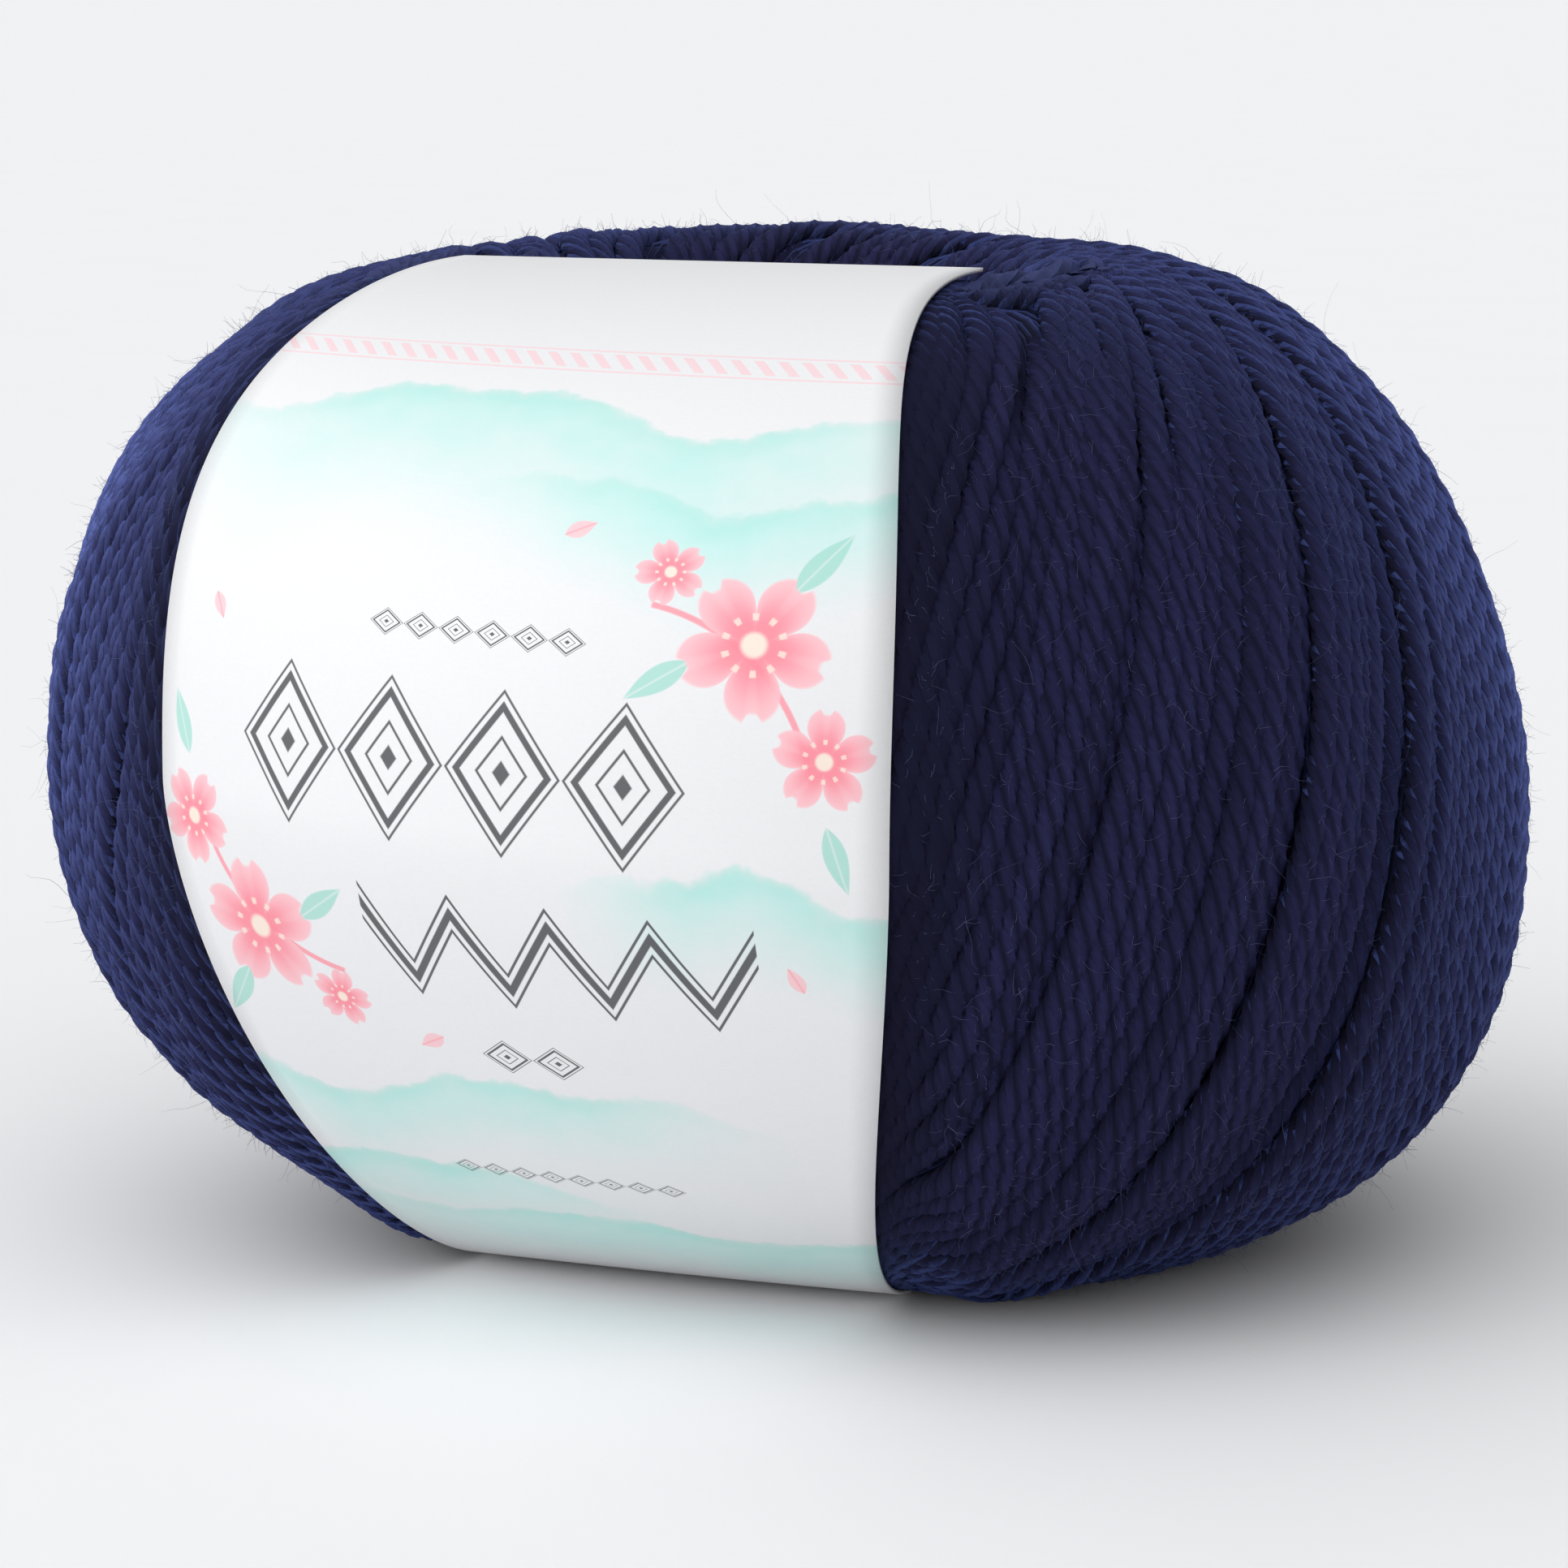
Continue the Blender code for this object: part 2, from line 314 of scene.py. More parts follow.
def slant_sine(radius, stretch, share):
    """The sine of the angle between a strand and the upright direction.

    Outside, a taut strand keeps radius times this sine the same, so that it would graze a
    circle of TANGENT_RADIUS, and a smaller one low down. In the hole it straightens."""
    if stretch == "upper":
        return min(TANGENT_RADIUS / radius, STEEPEST_SLANT)
    if stretch == "lower":
        lower = float(smooth(share / LOW_TURN_SHARE))
        tangent = TANGENT_RADIUS + (LOW_TANGENT_RADIUS - TANGENT_RADIUS) * lower
        return min(tangent / radius, STEEPEST_SLANT)
    steepest = STEEPEST_SLANT
    if stretch == "foot" or (stretch == "hole" and share > 0.5):
        steepest = LOW_TANGENT_RADIUS / CREST_RADIUS
    return steepest * (radius / CREST_RADIUS) ** STRAIGHTENING


def bed_under(ball, band):
    """The row of the band that lies nearest to each row of the ball, so that wool beside and
    under the band is pressed straight in and not along it. Both go the same way round."""
    fine = np.linspace(0, len(band) - 1, BED_FINENESS * len(band))
    rows = np.arange(len(band))
    path = np.stack([np.interp(fine, rows, band[:, column]) for column in range(2)], -1)
    apart = np.hypot(*(path[None] - ball[:, None]).transpose(2, 0, 1))
    apart += BED_DRIFT_COST * np.abs(fine[None] - rows[:, None])
    nearest = np.maximum.accumulate(fine[np.argmin(apart, axis=1)])
    ends = np.pad(nearest, BED_EASE, mode="edge")
    eased = np.convolve(ends, np.ones(2 * BED_EASE + 1) / (2 * BED_EASE + 1), "valid")
    return np.stack([np.interp(eased, rows, column) for column in band.T], -1)


def running_sum(steps):
    return np.concatenate([[0], np.cumsum(steps)])


def middles(values):
    return (values[1:] + values[:-1]) / 2


class Way:
    """One strand's way round the section, as arrays with a value for each ring of points."""

    def __init__(self):
        steps = loop_steps()
        ball = np.array([ball_row(*step) for step in steps])
        band = np.array([band_row(*step) for step in steps])
        sine = np.array([slant_sine(r, *step) for (r, _), step in zip(ball, steps)])
        cosine = np.sqrt(1 - sine * sine)
        pieces = np.hypot(*np.diff(ball, axis=0).T)
        run = running_sum(pieces / middles(cosine))
        turn = running_sum(pieces * middles(sine) / middles(cosine) / middles(ball[:, 0]))
        along_band = running_sum(np.hypot(*np.diff(band[:, :2], axis=0).T))
        widest = 3 * STRETCH_POINTS
        turn -= turn[widest]
        along_band -= along_band[widest]
        slope = np.gradient(ball, axis=0)
        normal = unit(np.stack([slope[:, 1], -slope[:, 0]], -1))
        bed = bed_under(ball, band)
        band_slope = unit(np.gradient(bed[:, :2], axis=0))
        names = ("distance", "band_height", "half", "curvature")
        beds = ("bed_distance", "bed_height", "bed_half", "bed_curvature")
        self.columns = dict(
            zip(names + beds, [*band.T, *bed.T]), run=run, turn=turn, radius=ball[:, 0],
            height=ball[:, 1], out=normal[:, 0], up=normal[:, 1], cosine=cosine,
            along_band=along_band, bed_back=band_slope[:, 1], bed_up=band_slope[:, 0],
            tuck=np.array([tuck(*step) for step in steps]))

    def at(self, runs):
        """Every column, read at these lengths along the strand."""
        run = self.columns["run"]
        return {name: np.interp(runs, run, column) for name, column in self.columns.items()}

    def rows_at(self, runs):
        """The same for a grid of points with a row at each length."""
        return {name: column[:, None] for name, column in self.at(runs).items()}

    def rings(self):
        """Lengths along the strand at which it has a ring of points: close together on the
        outside and further apart in the hole."""
        run, radius = self.columns["run"], self.columns["radius"]
        lengths = [0.0]
        while lengths[-1] < run[-1]:
            in_hole = np.interp(lengths[-1], run, radius) < CREST_RADIUS * HOLE_RING_SHARE
            lengths.append(lengths[-1] + (HOLE_RING_STEP if in_hole else RING_STEP))
        return np.array(lengths[:-1])


# ---- the winding ----


def rise_fade(radius):
    """Bundles and wraps stand out fully at the widest line, and less nearer the axis."""
    return np.minimum(1.0, radius / BALL_RADIUS) ** RISE_FADE


def bundle_rises(chance):
    return BUNDLE_RISE * chance.uniform(LOWEST_BUNDLE, 1.0, BUNDLES)


def winding_rise(azimuth, rises):
    """How far the bundles and top wraps stand out, at these azimuths of the widest line."""
    place = (azimuth / math.tau * BUNDLES) % BUNDLES
    rise = rises[place.astype(int) % BUNDLES] * np.sin(math.pi * (place % 1))
    for row in WRAPS:
        wrap = dict(zip(WRAP_COLUMNS, row))
        off = (azimuth - math.radians(wrap["azimuth"]) + math.pi) % math.tau - math.pi
        across = np.abs(off) * BALL_RADIUS / wrap["half_width"]
        rise = rise + wrap["rise"] * smooth(WRAP_EDGE - across)
    return rise


def drawn_amount(points, way):
    """1 under the band, and less and less beside it."""
    beside = (np.abs(points[..., 0]) - way["bed_half"] - SQUEEZE_MARGIN) / SQUEEZE_SHOULDER
    beside = np.maximum(beside, 1 + points[..., 1] / SQUEEZE_REACH)
    return 1 - smooth(beside)


def drawn_in(points, way, depth):
    """Draw the points in under the band, `depth` behind its outer face, and fade that out to
    both sides of it."""
    distance = way["bed_distance"] - way["bed_back"] * depth
    height = way["bed_height"] + way["bed_up"] * depth
    bent = way["bed_curvature"]
    curvature = bent / (1 - bent * (way["bed_distance"] - distance))
    bed = band_points(distance, height, curvature, points[..., 0])
    return points + (bed - points) * drawn_amount(points, way)[..., None]


def round_axis(azimuth, distance, height):
    """Points at these azimuths, distances from the axis and heights."""
    return np.stack([distance * np.sin(azimuth), -distance * np.cos(azimuth),
                     np.broadcast_to(height, azimuth.shape)], -1)


def on_ball(way, azimuth, rise):
    """Points on the wound surface, and the surface's outward direction there."""
    normal = round_axis(azimuth, way["out"], way["up"])
    points = round_axis(azimuth, way["radius"], way["height"])
    tucked = way["tuck"] * (1 + np.cos(azimuth - TUCK_AZIMUTH)) / 2
    toward_far = np.maximum(np.cos(azimuth - FAR_CREST_AZIMUTH) * way["up"], 0.0)
    lifted = FAR_CREST_LIFT * toward_far ** FAR_CREST_NARROWNESS * (way["up"] > 0)
    points = points + normal * (rise - tucked + lifted)[..., None]
    return leant(drawn_in(points, way, PAPER_THICKNESS + PAPER_GAP)), normal


def wander(chance, runs, size, waves):
    """A slow, smooth wander along a strand, as a sum of waves of unlike lengths."""
    drift = np.zeros_like(runs)
    for length in waves:
        drift += np.sin(runs / length * math.tau + chance.uniform(0, math.tau))
    return size * drift / len(waves)


def lays(chance, runs):
    """For each strand, the rise and the sideways stray of the lay that it belongs to."""
    widest = runs[len(runs) // 2]
    members = []
    while len(members) < STRANDS:
        rise = chance.uniform(-LAY_RISE, LAY_RISE)
        stray = wander(chance, runs, LAY_STRAY, LAY_WAVES)
        stray = stray + chance.normal(0, LAY_SLANT) * (runs - widest)
        members += [(rise, stray)] * chance.randint(*LAY_STRANDS)
    return members[:STRANDS]


def closed_up(azimuths):
    """The strands' azimuths, a row for each, moved so that no two neighbours part far enough
    to bare what is under them."""
    even = math.tau / STRANDS
    apart = np.diff(azimuths, axis=0, append=azimuths[:1] + math.tau)
    apart = np.clip(apart, CLOSEST * even, WIDEST * even)
    apart *= math.tau / apart.sum(axis=0)
    return azimuths[0] + np.cumsum(apart, axis=0) - apart


def kept_lengths(keep):
    """The slices of a strand's rings that are kept, each with one ring more at both ends."""
    change = np.flatnonzero(np.diff(np.concatenate([[0], keep.astype(int), [0]])))
    return [slice(max(first - 1, 0), end + 1) for first, end in change.reshape(-1, 2)
            if end - first >= FEWEST_RINGS]


def strand_table(way_maker):
    """Centre line, directions and look of every visible length of strand."""
    chance = np.random.RandomState(STRAND_SEED)
    rises = bundle_rises(chance)
    runs = way_maker.rings()
    way = way_maker.at(runs)
    room = math.tau * way["radius"] * way["cosine"] / STRANDS
    fade = rise_fade(way["radius"])
    starts = np.arange(STRANDS) * math.tau / STRANDS
    members = lays(chance, runs)
    strays = np.array([wander(chance, runs, STRAND_STRAY, STRAND_WAVES) + lay_stray * fade
                       for _, lay_stray in members])
    azimuths = closed_up(starts[:, None] + way["turn"] + strays / way["radius"])
    strands = []
    ranks = []
    for start, azimuth, (lay_rise, _) in zip(starts, azimuths, members):
        if not ranks:
            ranks = list(chance.permutation(RANKS))
        rank = ranks.pop()
        need = STRAND_ROOM * (rank + 1) / RANKS
        sunk = smooth((need - room) / (need * SINK_SPAN)) if rank else np.zeros_like(room)
        rise = (winding_rise(np.array([start]), rises)[0] + lay_rise) * fade
        rise = rise + wander(chance, runs, STRAND_RISE, STRAND_WAVES)
        rise = rise - SINK_DEPTH * sunk
        points, normal = on_ball(way, azimuth, rise)
        pressed = drawn_amount(points, way)
        seen = (np.abs(points[:, 0]) > way["bed_half"] - BAND_COVER) | (points[:, 1] > 0)
        if rank >= RANKS_IN_HOLE:
            seen &= sunk < DEEPEST_SHOWN
        size = chance.uniform(*STRAND_SIZES)
        look = dict(size=size, phase=chance.uniform(0, math.tau), tint=chance.uniform(0, 1))
        centre = points - normal * (STRAND_HALF_DEEP * size)
        for part in kept_lengths(seen):
            strands.append(dict(look, centre=centre[part], normal=normal[part],
                                run=runs[part], sunk=sunk[part], pressed=pressed[part]))
    return strands


def rings_round(line, first, second, first_reach, second_reach):
    """Rings of points round a line, at these distances from it in two directions."""
    return (line[..., None, :] + first[..., None, :] * first_reach[..., None]
            + second[..., None, :] * second_reach[..., None])


def strand_rings(strand):
    """The rings of points of one strand: round plies that twist to the left, with a point in
    the valley beside each ply and one on its ridge. Also how far down its side each one is."""
    centre = strand["centre"]
    tangent = unit(np.gradient(centre, axis=0))
    side = unit(np.cross(tangent, strand["normal"]))
    out = np.cross(side, tangent)
    corner = np.arange(PLIES * PLY_CORNERS)
    reach = np.where(corner % PLY_CORNERS, 1.0, PLY_VALLEY) * strand["size"]
    place = strand["phase"] - corner * math.tau / len(corner)
    angle = place[None] - (strand["run"] / LAY * math.tau)[:, None]
    rings = rings_round(centre, out, side, np.cos(angle) * reach * STRAND_HALF_DEEP,
                        np.sin(angle) * reach * STRAND_HALF_WIDE)
    rings[..., 2] = np.maximum(rings[..., 2], FLOOR_GAP)
    down_side = smooth((SIDE_SHADE_START - np.cos(angle)) / SIDE_SHADE_SPAN)
    return rings, down_side


def mesh_from(name, points, faces, loops_in_face):
    """A mesh from arrays: `faces` lists the corners of all faces one after another, and
    `loops_in_face` how many corners each face has."""
    mesh = bpy.data.meshes.new(name)
    mesh.vertices.add(len(points))
    mesh.vertices.foreach_set("co", np.asarray(points, np.float32).ravel())
    mesh.loops.add(len(faces))
    mesh.loops.foreach_set("vertex_index", np.asarray(faces, np.int32))
    starts = np.concatenate([[0], np.cumsum(loops_in_face)[:-1]]).astype(np.int32)
    mesh.polygons.add(len(loops_in_face))
    mesh.polygons.foreach_set("loop_start", starts)
    mesh.update(calc_edges=True)
    mesh.validate()
    mesh.shade_smooth()
    return mesh


def tube_faces(rings, corners, first):
    """The quads of a tube of `rings` rings, and its two end faces, counted from `first`.
    Also gives each corner's place along and round the tube."""
    ring, corner = np.indices((rings - 1, corners))
    along = np.stack([ring, ring + 1, ring + 1, ring], -1).ravel()
    round_ = np.stack([corner, corner, corner + 1, corner + 1], -1).ravel()
    cap = np.arange(corners)
    ends = [cap, (rings - 1) * corners + cap[::-1]]
    faces = np.concatenate([along * corners + round_ % corners, *ends]) + first
    sizes = np.concatenate([np.full((rings - 1) * corners, 4), [corners, corners]])
    along = np.concatenate([along, 0 * cap, 0 * cap + rings - 1])
    return faces, sizes, along, np.concatenate([round_, cap, cap[::-1]])


# How far apart the strands of a piece lie on its map `thread`, and the margin of the row that
# each strand has to itself on the sheet for baking
THREAD_ROW_STEP = 10
SHEET_MARGIN = 0.06


def strand_piece(name, strands, look):
    """One mesh of many strands. Its map `thread` runs along each ply in real size, and its point
    values hold painted shade, for points that lie deep among the strands, are pressed in beside the
    band or lie down a strand's side, and how light its strand is."""
    parts = []
    first = 0
    corners = PLY_CORNERS * PLIES
    for row, strand in enumerate(strands):
        rings, down_side = strand_rings(strand)
        count = len(rings)
        faces, sizes, along, round_ = tube_faces(count, corners, first)
        run = strand["run"][along]
        across = round_ / corners * PLIES + THREAD_ROW_STEP * row
        down_row = SHEET_MARGIN + (1 - 2 * SHEET_MARGIN) * round_ / corners
        # Painted shade: sunk strands, wool pressed in beside the band and the sides of strands are
        # darkened
        sunk = np.maximum(strand["sunk"] * SUNK_SHADE, strand["pressed"] * PRESSED_SHADE)
        parts.append((rings.reshape(-1, 3), faces, sizes, np.stack([run / MM, across], -1),
                      np.stack([along / (count - 1), (row + down_row) / len(strands)], -1),
                      np.maximum(np.repeat(sunk, corners), down_side.ravel() * SIDE_SHADE),
                      np.full(count * corners, strand["tint"]),
                      np.repeat(strand["normal"], corners, axis=0)))
        first += count * corners
    points, faces, sizes, thread, sheet, painted_shade, tint, outward = map(np.concatenate, zip(*parts))
    mesh = mesh_from(name, points, faces, sizes)
    set_map(mesh, "thread", thread)
    set_map(mesh, "OFBake", sheet)
    set_value(mesh, "painted_shade", painted_shade)
    set_value(mesh, "tint", tint)
    soften(mesh, outward)
    return linked(name, mesh, look)


def set_map(mesh, name, places):
    layer = mesh.uv_layers.new(name=name)
    layer.uv.foreach_set("vector", np.asarray(places, np.float32).ravel())


def soften(mesh, outward):
    """Turn the shading part of the way from the plies to the whole ball, as loose fibres do."""
    own = np.empty(len(mesh.vertices) * 3, np.float32)
    mesh.vertex_normals.foreach_get("vector", own)
    blended = own.reshape(-1, 3) * (1 - SHADING_SOFTNESS) + outward * SHADING_SOFTNESS
    mesh.normals_split_custom_set_from_vertices(unit(blended))


def set_value(mesh, name, values):
    attribute = mesh.attributes.new(name, "FLOAT", "POINT")
    attribute.data.foreach_set("value", np.asarray(values, np.float32))


def linked(name, mesh, look):
    made = bpy.data.objects.new(name, mesh)
    bpy.context.scene.collection.objects.link(made)
    mesh.materials.append(look)
    return made


# ---- under the strands, and over them ----

CORE_DEPTH = 0.00115
CORE_RIDGE = 0.00028
CORE_STRANDS = 170
CORE_RIDGE_POINTS = 3
CORE_ROWS = 72
CORE_TURN = 0.9
CORE_FLOOR_GAP = 0.0005
# Painted shade on the core: most of it is darkened, a little less on its ridges, which are painted
# lighter
CORE_SHADE = 0.85
CORE_RIDGE_LIGHT = 0.15
CORE_TINT = 0.3


def wool_core(way_maker, look):
    """The layer of wool just under the outer strands, as one closed ring of round ridges that
    turn a little less than they do."""
    runs = np.linspace(0, way_maker.columns["run"][-1], CORE_ROWS, endpoint=False)
    way = way_maker.rows_at(runs)
    columns = CORE_STRANDS * CORE_RIDGE_POINTS
    start = np.linspace(0, math.tau, columns, endpoint=False)[None]
    azimuth = start + way["turn"] * CORE_TURN
    rises = bundle_rises(np.random.RandomState(STRAND_SEED))
    fade = rise_fade(way["radius"])
    ridge = np.cos(start * CORE_STRANDS)
    raised = winding_rise((azimuth - way["turn"]) % math.tau, rises)
    rise = np.minimum(raised, 0) * fade - CORE_DEPTH
    points, normal = on_ball(way, azimuth, rise + CORE_RIDGE * ridge)
    points = points - normal * (CORE_DEPTH * drawn_amount(points, way))[..., None]
    points[..., 2] = np.maximum(points[..., 2], CORE_FLOOR_GAP)
    index = np.arange(CORE_ROWS * columns).reshape(CORE_ROWS, columns)
    closing = round((way_maker.columns["turn"][-1] - way_maker.columns["turn"][0]) * CORE_TURN
                    / math.tau * columns)
    next_row = np.roll(index, -1, 0)
    next_row[-1] = np.roll(next_row[-1], -closing)
    quads = np.stack([index, np.roll(index, -1, 1), np.roll(next_row, -1, 1), next_row], -1)
    mesh = mesh_from("wool_core", points.reshape(-1, 3), quads.ravel(),
                     np.full(quads.shape[0] * quads.shape[1], 4))
    across = start * CORE_STRANDS / math.tau * PLIES
    thread = np.stack(np.broadcast_arrays(way["run"] / MM, across), -1).reshape(-1, 2)
    set_map(mesh, "thread", thread[quads.ravel()])
    # Painted shade for the core, lighter on its ridges
    set_value(mesh, "painted_shade", np.tile((CORE_SHADE - CORE_RIDGE_LIGHT * ridge)[0], CORE_ROWS))
    set_value(mesh, "tint", np.full(len(mesh.vertices), CORE_TINT))
    soften(mesh, normal.reshape(-1, 3))
    return linked("wool_core", mesh, look)


# The halo in three kinds: short and longer fuzz close to the strands, and a few loose fibres
HALO_COLUMNS = ("name", "count", "parts", "shortest", "longest", "lift", "curl", "half")
HALO = (
    ("short_fuzz", 12500, 2, 0.0004, 0.0016, 0.85, 0.5, 0.000016),
    ("longer_fuzz", 10500, 2, 0.0006, 0.0023, 0.60, 0.6, 0.000014),
    ("loose_fibres", 1300, 6, 0.0016, 0.0052, 0.45, 0.8, 0.000012),
)
HALO_SEED = 11
LENGTH_BIAS = 1.8
FIBRE_SIDES = 3
FIBRE_SIZES = (0.7, 1.3)
FIBRE_TAPER = 0.6
FIBRE_FLOOR_GAP = 0.0001

# Fibres stand on strands that have sunk less than this, clear of the band and above the base
HALO_SUNK = 0.3
HALO_BAND_MARGIN = 0.0010
HALO_BAND_BACK = -0.005
HALO_LOWEST = 0.0015

# Where a fibre starts in its strand, how it heads off across it, and how it stands up, bends
# over and waves, as shares of the numbers of its kind
ROOT_SHARE = 0.7
ACROSS_SPREAD = 0.8
LIFT_SHARES = (0.15, 1.0)
LIFT_COST = 0.5
BEND_SHARES = (0.2, 1.0)
BEND_COST = 0.3
WAVE_SHARE = 0.18
WAVE_TURN = 7
OFF_AXIS = 0.01


def halo_roots(strands):
    """Where fibres can stand: the points, outward directions and directions along the strand."""
    rows = [(strand["centre"], strand["normal"], unit(np.gradient(strand["centre"], axis=0)),
             strand["sunk"]) for strand in strands]
    centre, normal, tangent, sunk = [np.concatenate([values[2:-2] for values in column])
                                     for column in zip(*rows)]
    in_front = np.abs(centre[:, 0]) < BAND_HALF_FRONT - HALO_BAND_MARGIN
    clear = (sunk < HALO_SUNK) & (centre[:, 2] > HALO_LOWEST)
    clear &= ~(in_front & (centre[:, 1] < HALO_BAND_BACK))
    return centre[clear], normal[clear], tangent[clear]


def halo_piece(kind, strands, look):
    """Fibres of one kind as thin tapering tubes that stand off the strands and curl."""
    chance = np.random.RandomState(HALO_SEED + kind["count"])
    roots = halo_roots(strands)
    count = kind["count"]
    each = (count, 1)
    picked = chance.choice(len(roots[0]), count, replace=False)
    centre, normal, tangent = [values[picked] for values in roots]
    side = np.cross(tangent, normal)
    long_share = chance.uniform(0, 1, each) ** LENGTH_BIAS
    length = kind["shortest"] + (kind["longest"] - kind["shortest"]) * long_share
    lift = kind["lift"] * chance.uniform(*LIFT_SHARES, each)
    heading = tangent * chance.normal(0, 1, each)
    heading = unit(heading + side * chance.normal(0, ACROSS_SPREAD, each))
    aim = unit(normal * lift + heading * (1 - LIFT_COST * lift))
    bow = unit(np.cross(aim, chance.normal(0, 1, (count, 3))))
    second = np.cross(aim, bow)
    bend = kind["curl"] * chance.uniform(*BEND_SHARES, each)
    wave = WAVE_SHARE * kind["curl"] * chance.uniform(0, 1, each)
    turn = chance.uniform(0, math.tau, each)
    root = centre + normal * STRAND_HALF_DEEP * ROOT_SHARE
    share = np.linspace(0, 1, kind["parts"] + 1)
    step = share[None, :, None]
    swing = np.sin(share[None] * WAVE_TURN + turn)[..., None] * step
    line = (root[:, None] + (length * aim)[:, None] * (step - BEND_COST * step**2)
            + (length * bend * bow)[:, None] * step**2
            + (length * wave)[:, None] * second[:, None] * swing)
    line[..., 2] = np.maximum(line[..., 2], FIBRE_FLOOR_GAP)
    along = unit(np.gradient(line, axis=1))
    across = unit(np.cross(along, normal[:, None] + OFF_AXIS))
    over = np.cross(across, along)
    corner = np.arange(FIBRE_SIDES) * math.tau / FIBRE_SIDES
    half = kind["half"] * chance.uniform(*FIBRE_SIZES, each) * (1 - FIBRE_TAPER * share[None])
    half = half[..., None]
    rings = rings_round(line, across, over, half * np.cos(corner), half * np.sin(corner))
    tube, tube_sizes, _, _ = tube_faces(len(share), FIBRE_SIDES, 0)
    faces = tube[None] + len(share) * FIBRE_SIDES * np.arange(count)[:, None]
    mesh = mesh_from(kind["name"], rings.reshape(-1, 3), faces.ravel(),
                     np.tile(tube_sizes, count))
    return linked(kind["name"], mesh, look)


# ---- the printed band ----

BAND_ROWS = 240
BAND_COLUMNS = 24


def printed_band(way_maker, look):
    """The paper strip in its closed loop. Its map `print` is the flat paper in millimetres:
    across from its middle line, and up from the ball's widest line."""
    along = way_maker.columns["along_band"]
    runs = np.interp(np.linspace(along[0], along[-1], BAND_ROWS, endpoint=False), along,
                     way_maker.columns["run"])
    way = way_maker.rows_at(runs)
    arc = np.linspace(-1, 1, BAND_COLUMNS + 1)[None] * way["half"]
    curvature = np.maximum(way["curvature"], FLAT_CURVATURE)
    points = band_points(way["distance"], way["band_height"], curvature,
                         np.sin(arc * curvature) / curvature)
    points = leant(points)
    wide = BAND_COLUMNS + 1
    index = np.arange(BAND_ROWS * wide).reshape(BAND_ROWS, wide)
    next_row = np.roll(index, -1, 0)
    quads = np.stack([index[:, :-1], index[:, 1:], next_row[:, 1:], next_row[:, :-1]], -1)
    mesh = mesh_from("printed_band", points.reshape(-1, 3), quads.ravel(),
                     np.full(BAND_ROWS * BAND_COLUMNS, 4))
    flat = np.stack(np.broadcast_arrays(arc, way["along_band"]), -1)
    corner_flat = flat.reshape(-1, 2)[quads.reshape(-1, 4)]
    closing = quads.reshape(-1, 4)[:, 2] < wide
    corner_flat[closing, 2:, 1] += along[-1] - along[0]
    set_map(mesh, "print", corner_flat.reshape(-1, 2) / MM)
    band = linked("printed_band", mesh, look)
    thick = band.modifiers.new("thickness", "SOLIDIFY")
    thick.thickness = PAPER_THICKNESS
    thick.offset = -1
    return band


# ---- how the finishes are put together ----

NUMBER = "NodeSocketFloat"
PLACE = "NodeSocketVector"


class Field:
    """A value that varies over a surface. Sums with it add nodes to its tree."""

    def __init__(self, nodes, socket):
        self.nodes = nodes
        self.socket = socket

    def __add__(self, other):
        return self.nodes.math("ADD", self, other)

    def __sub__(self, other):
        return self.nodes.math("SUBTRACT", self, other)

    def __rsub__(self, other):
        return self.nodes.math("SUBTRACT", other, self)

    def __mul__(self, other):
        return self.nodes.math("MULTIPLY", self, other)

    def __truediv__(self, other):
        return self.nodes.math("DIVIDE", self, other)

    def __abs__(self):
        return self.nodes.math("ABSOLUTE", self)


class Nodes:
    """Short calls that add a node to a tree and fill its inputs."""

    def __init__(self, tree):
        self.tree = tree

    def put(self, socket, value):
        if isinstance(value, Field):
            self.tree.links.new(value.socket, socket)
        else:
            socket.default_value = value

    def fill(self, node, inputs):
        """Fill a node's inputs, by name or one after another."""
        named = inputs.items() if isinstance(inputs, dict) else enumerate(inputs)
        for title, value in named:
            self.put(node.inputs[title], value)

    def place(self, kind, inputs, **settings):
        node = self.tree.nodes.new("ShaderNode" + kind)
        for key, value in settings.items():
            setattr(node, key, value)
        self.fill(node, inputs)
        return node

    def add(self, kind, inputs=(), output=0, **settings):
        """Place a node and give one of its outputs."""
        return Field(self, self.place(kind, inputs, **settings).outputs[output])

    def math(self, operation, *values):
        return self.add("Math", values, operation=operation)

    def most(self, highest, *others):
        for other in others:
            highest = self.math("MAXIMUM", highest, other)
        return highest

    def vector(self, operation, *values):
        single = operation in ("DOT_PRODUCT", "LENGTH", "DISTANCE")
        return self.add("VectorMath", values, "Value" if single else "Vector",
                        operation=operation)

    def apart(self, place, centre=(0, 0, 0)):
        """The distances across and up from the centre to the place."""
        parts = self.place("SeparateXYZ", [self.vector("SUBTRACT", place, centre)]).outputs
        return Field(self, parts[0]), Field(self, parts[1])

    def effect(self, group, **values):
        """Place a node group, with a value for each of its named inputs."""
        made = self.place("Group", values, node_tree=group)
        return SimpleNamespace(**{out.name: Field(self, out) for out in made.outputs})

    def mix(self, factor, low, high):
        return self.add("Mix", {0: factor, 6: low, 7: high}, 2, data_type="RGBA")

    def value(self, name):
        return self.add("Attribute", output="Fac", attribute_name=name)

    def map(self, name):
        return self.add("UVMap", output="UV", uv_map=name)

    def noise(self, place, scale=1.0, detail=2.0, roughness=0.5):
        return self.add("TexNoise", {"Vector": place, "Scale": scale, "Detail": detail,
                                     "Roughness": roughness})

    def between(self, value, low, high):
        """0 at the low value, 1 at the high one, and a smooth step between."""
        return self.add("MapRange", {"Value": value, "From Min": low, "From Max": high},
                        interpolation_type="SMOOTHSTEP")

    def bump(self, height, strength, distance):
        return self.add("Bump", {"Strength": strength, "Distance": distance, "Height": height})


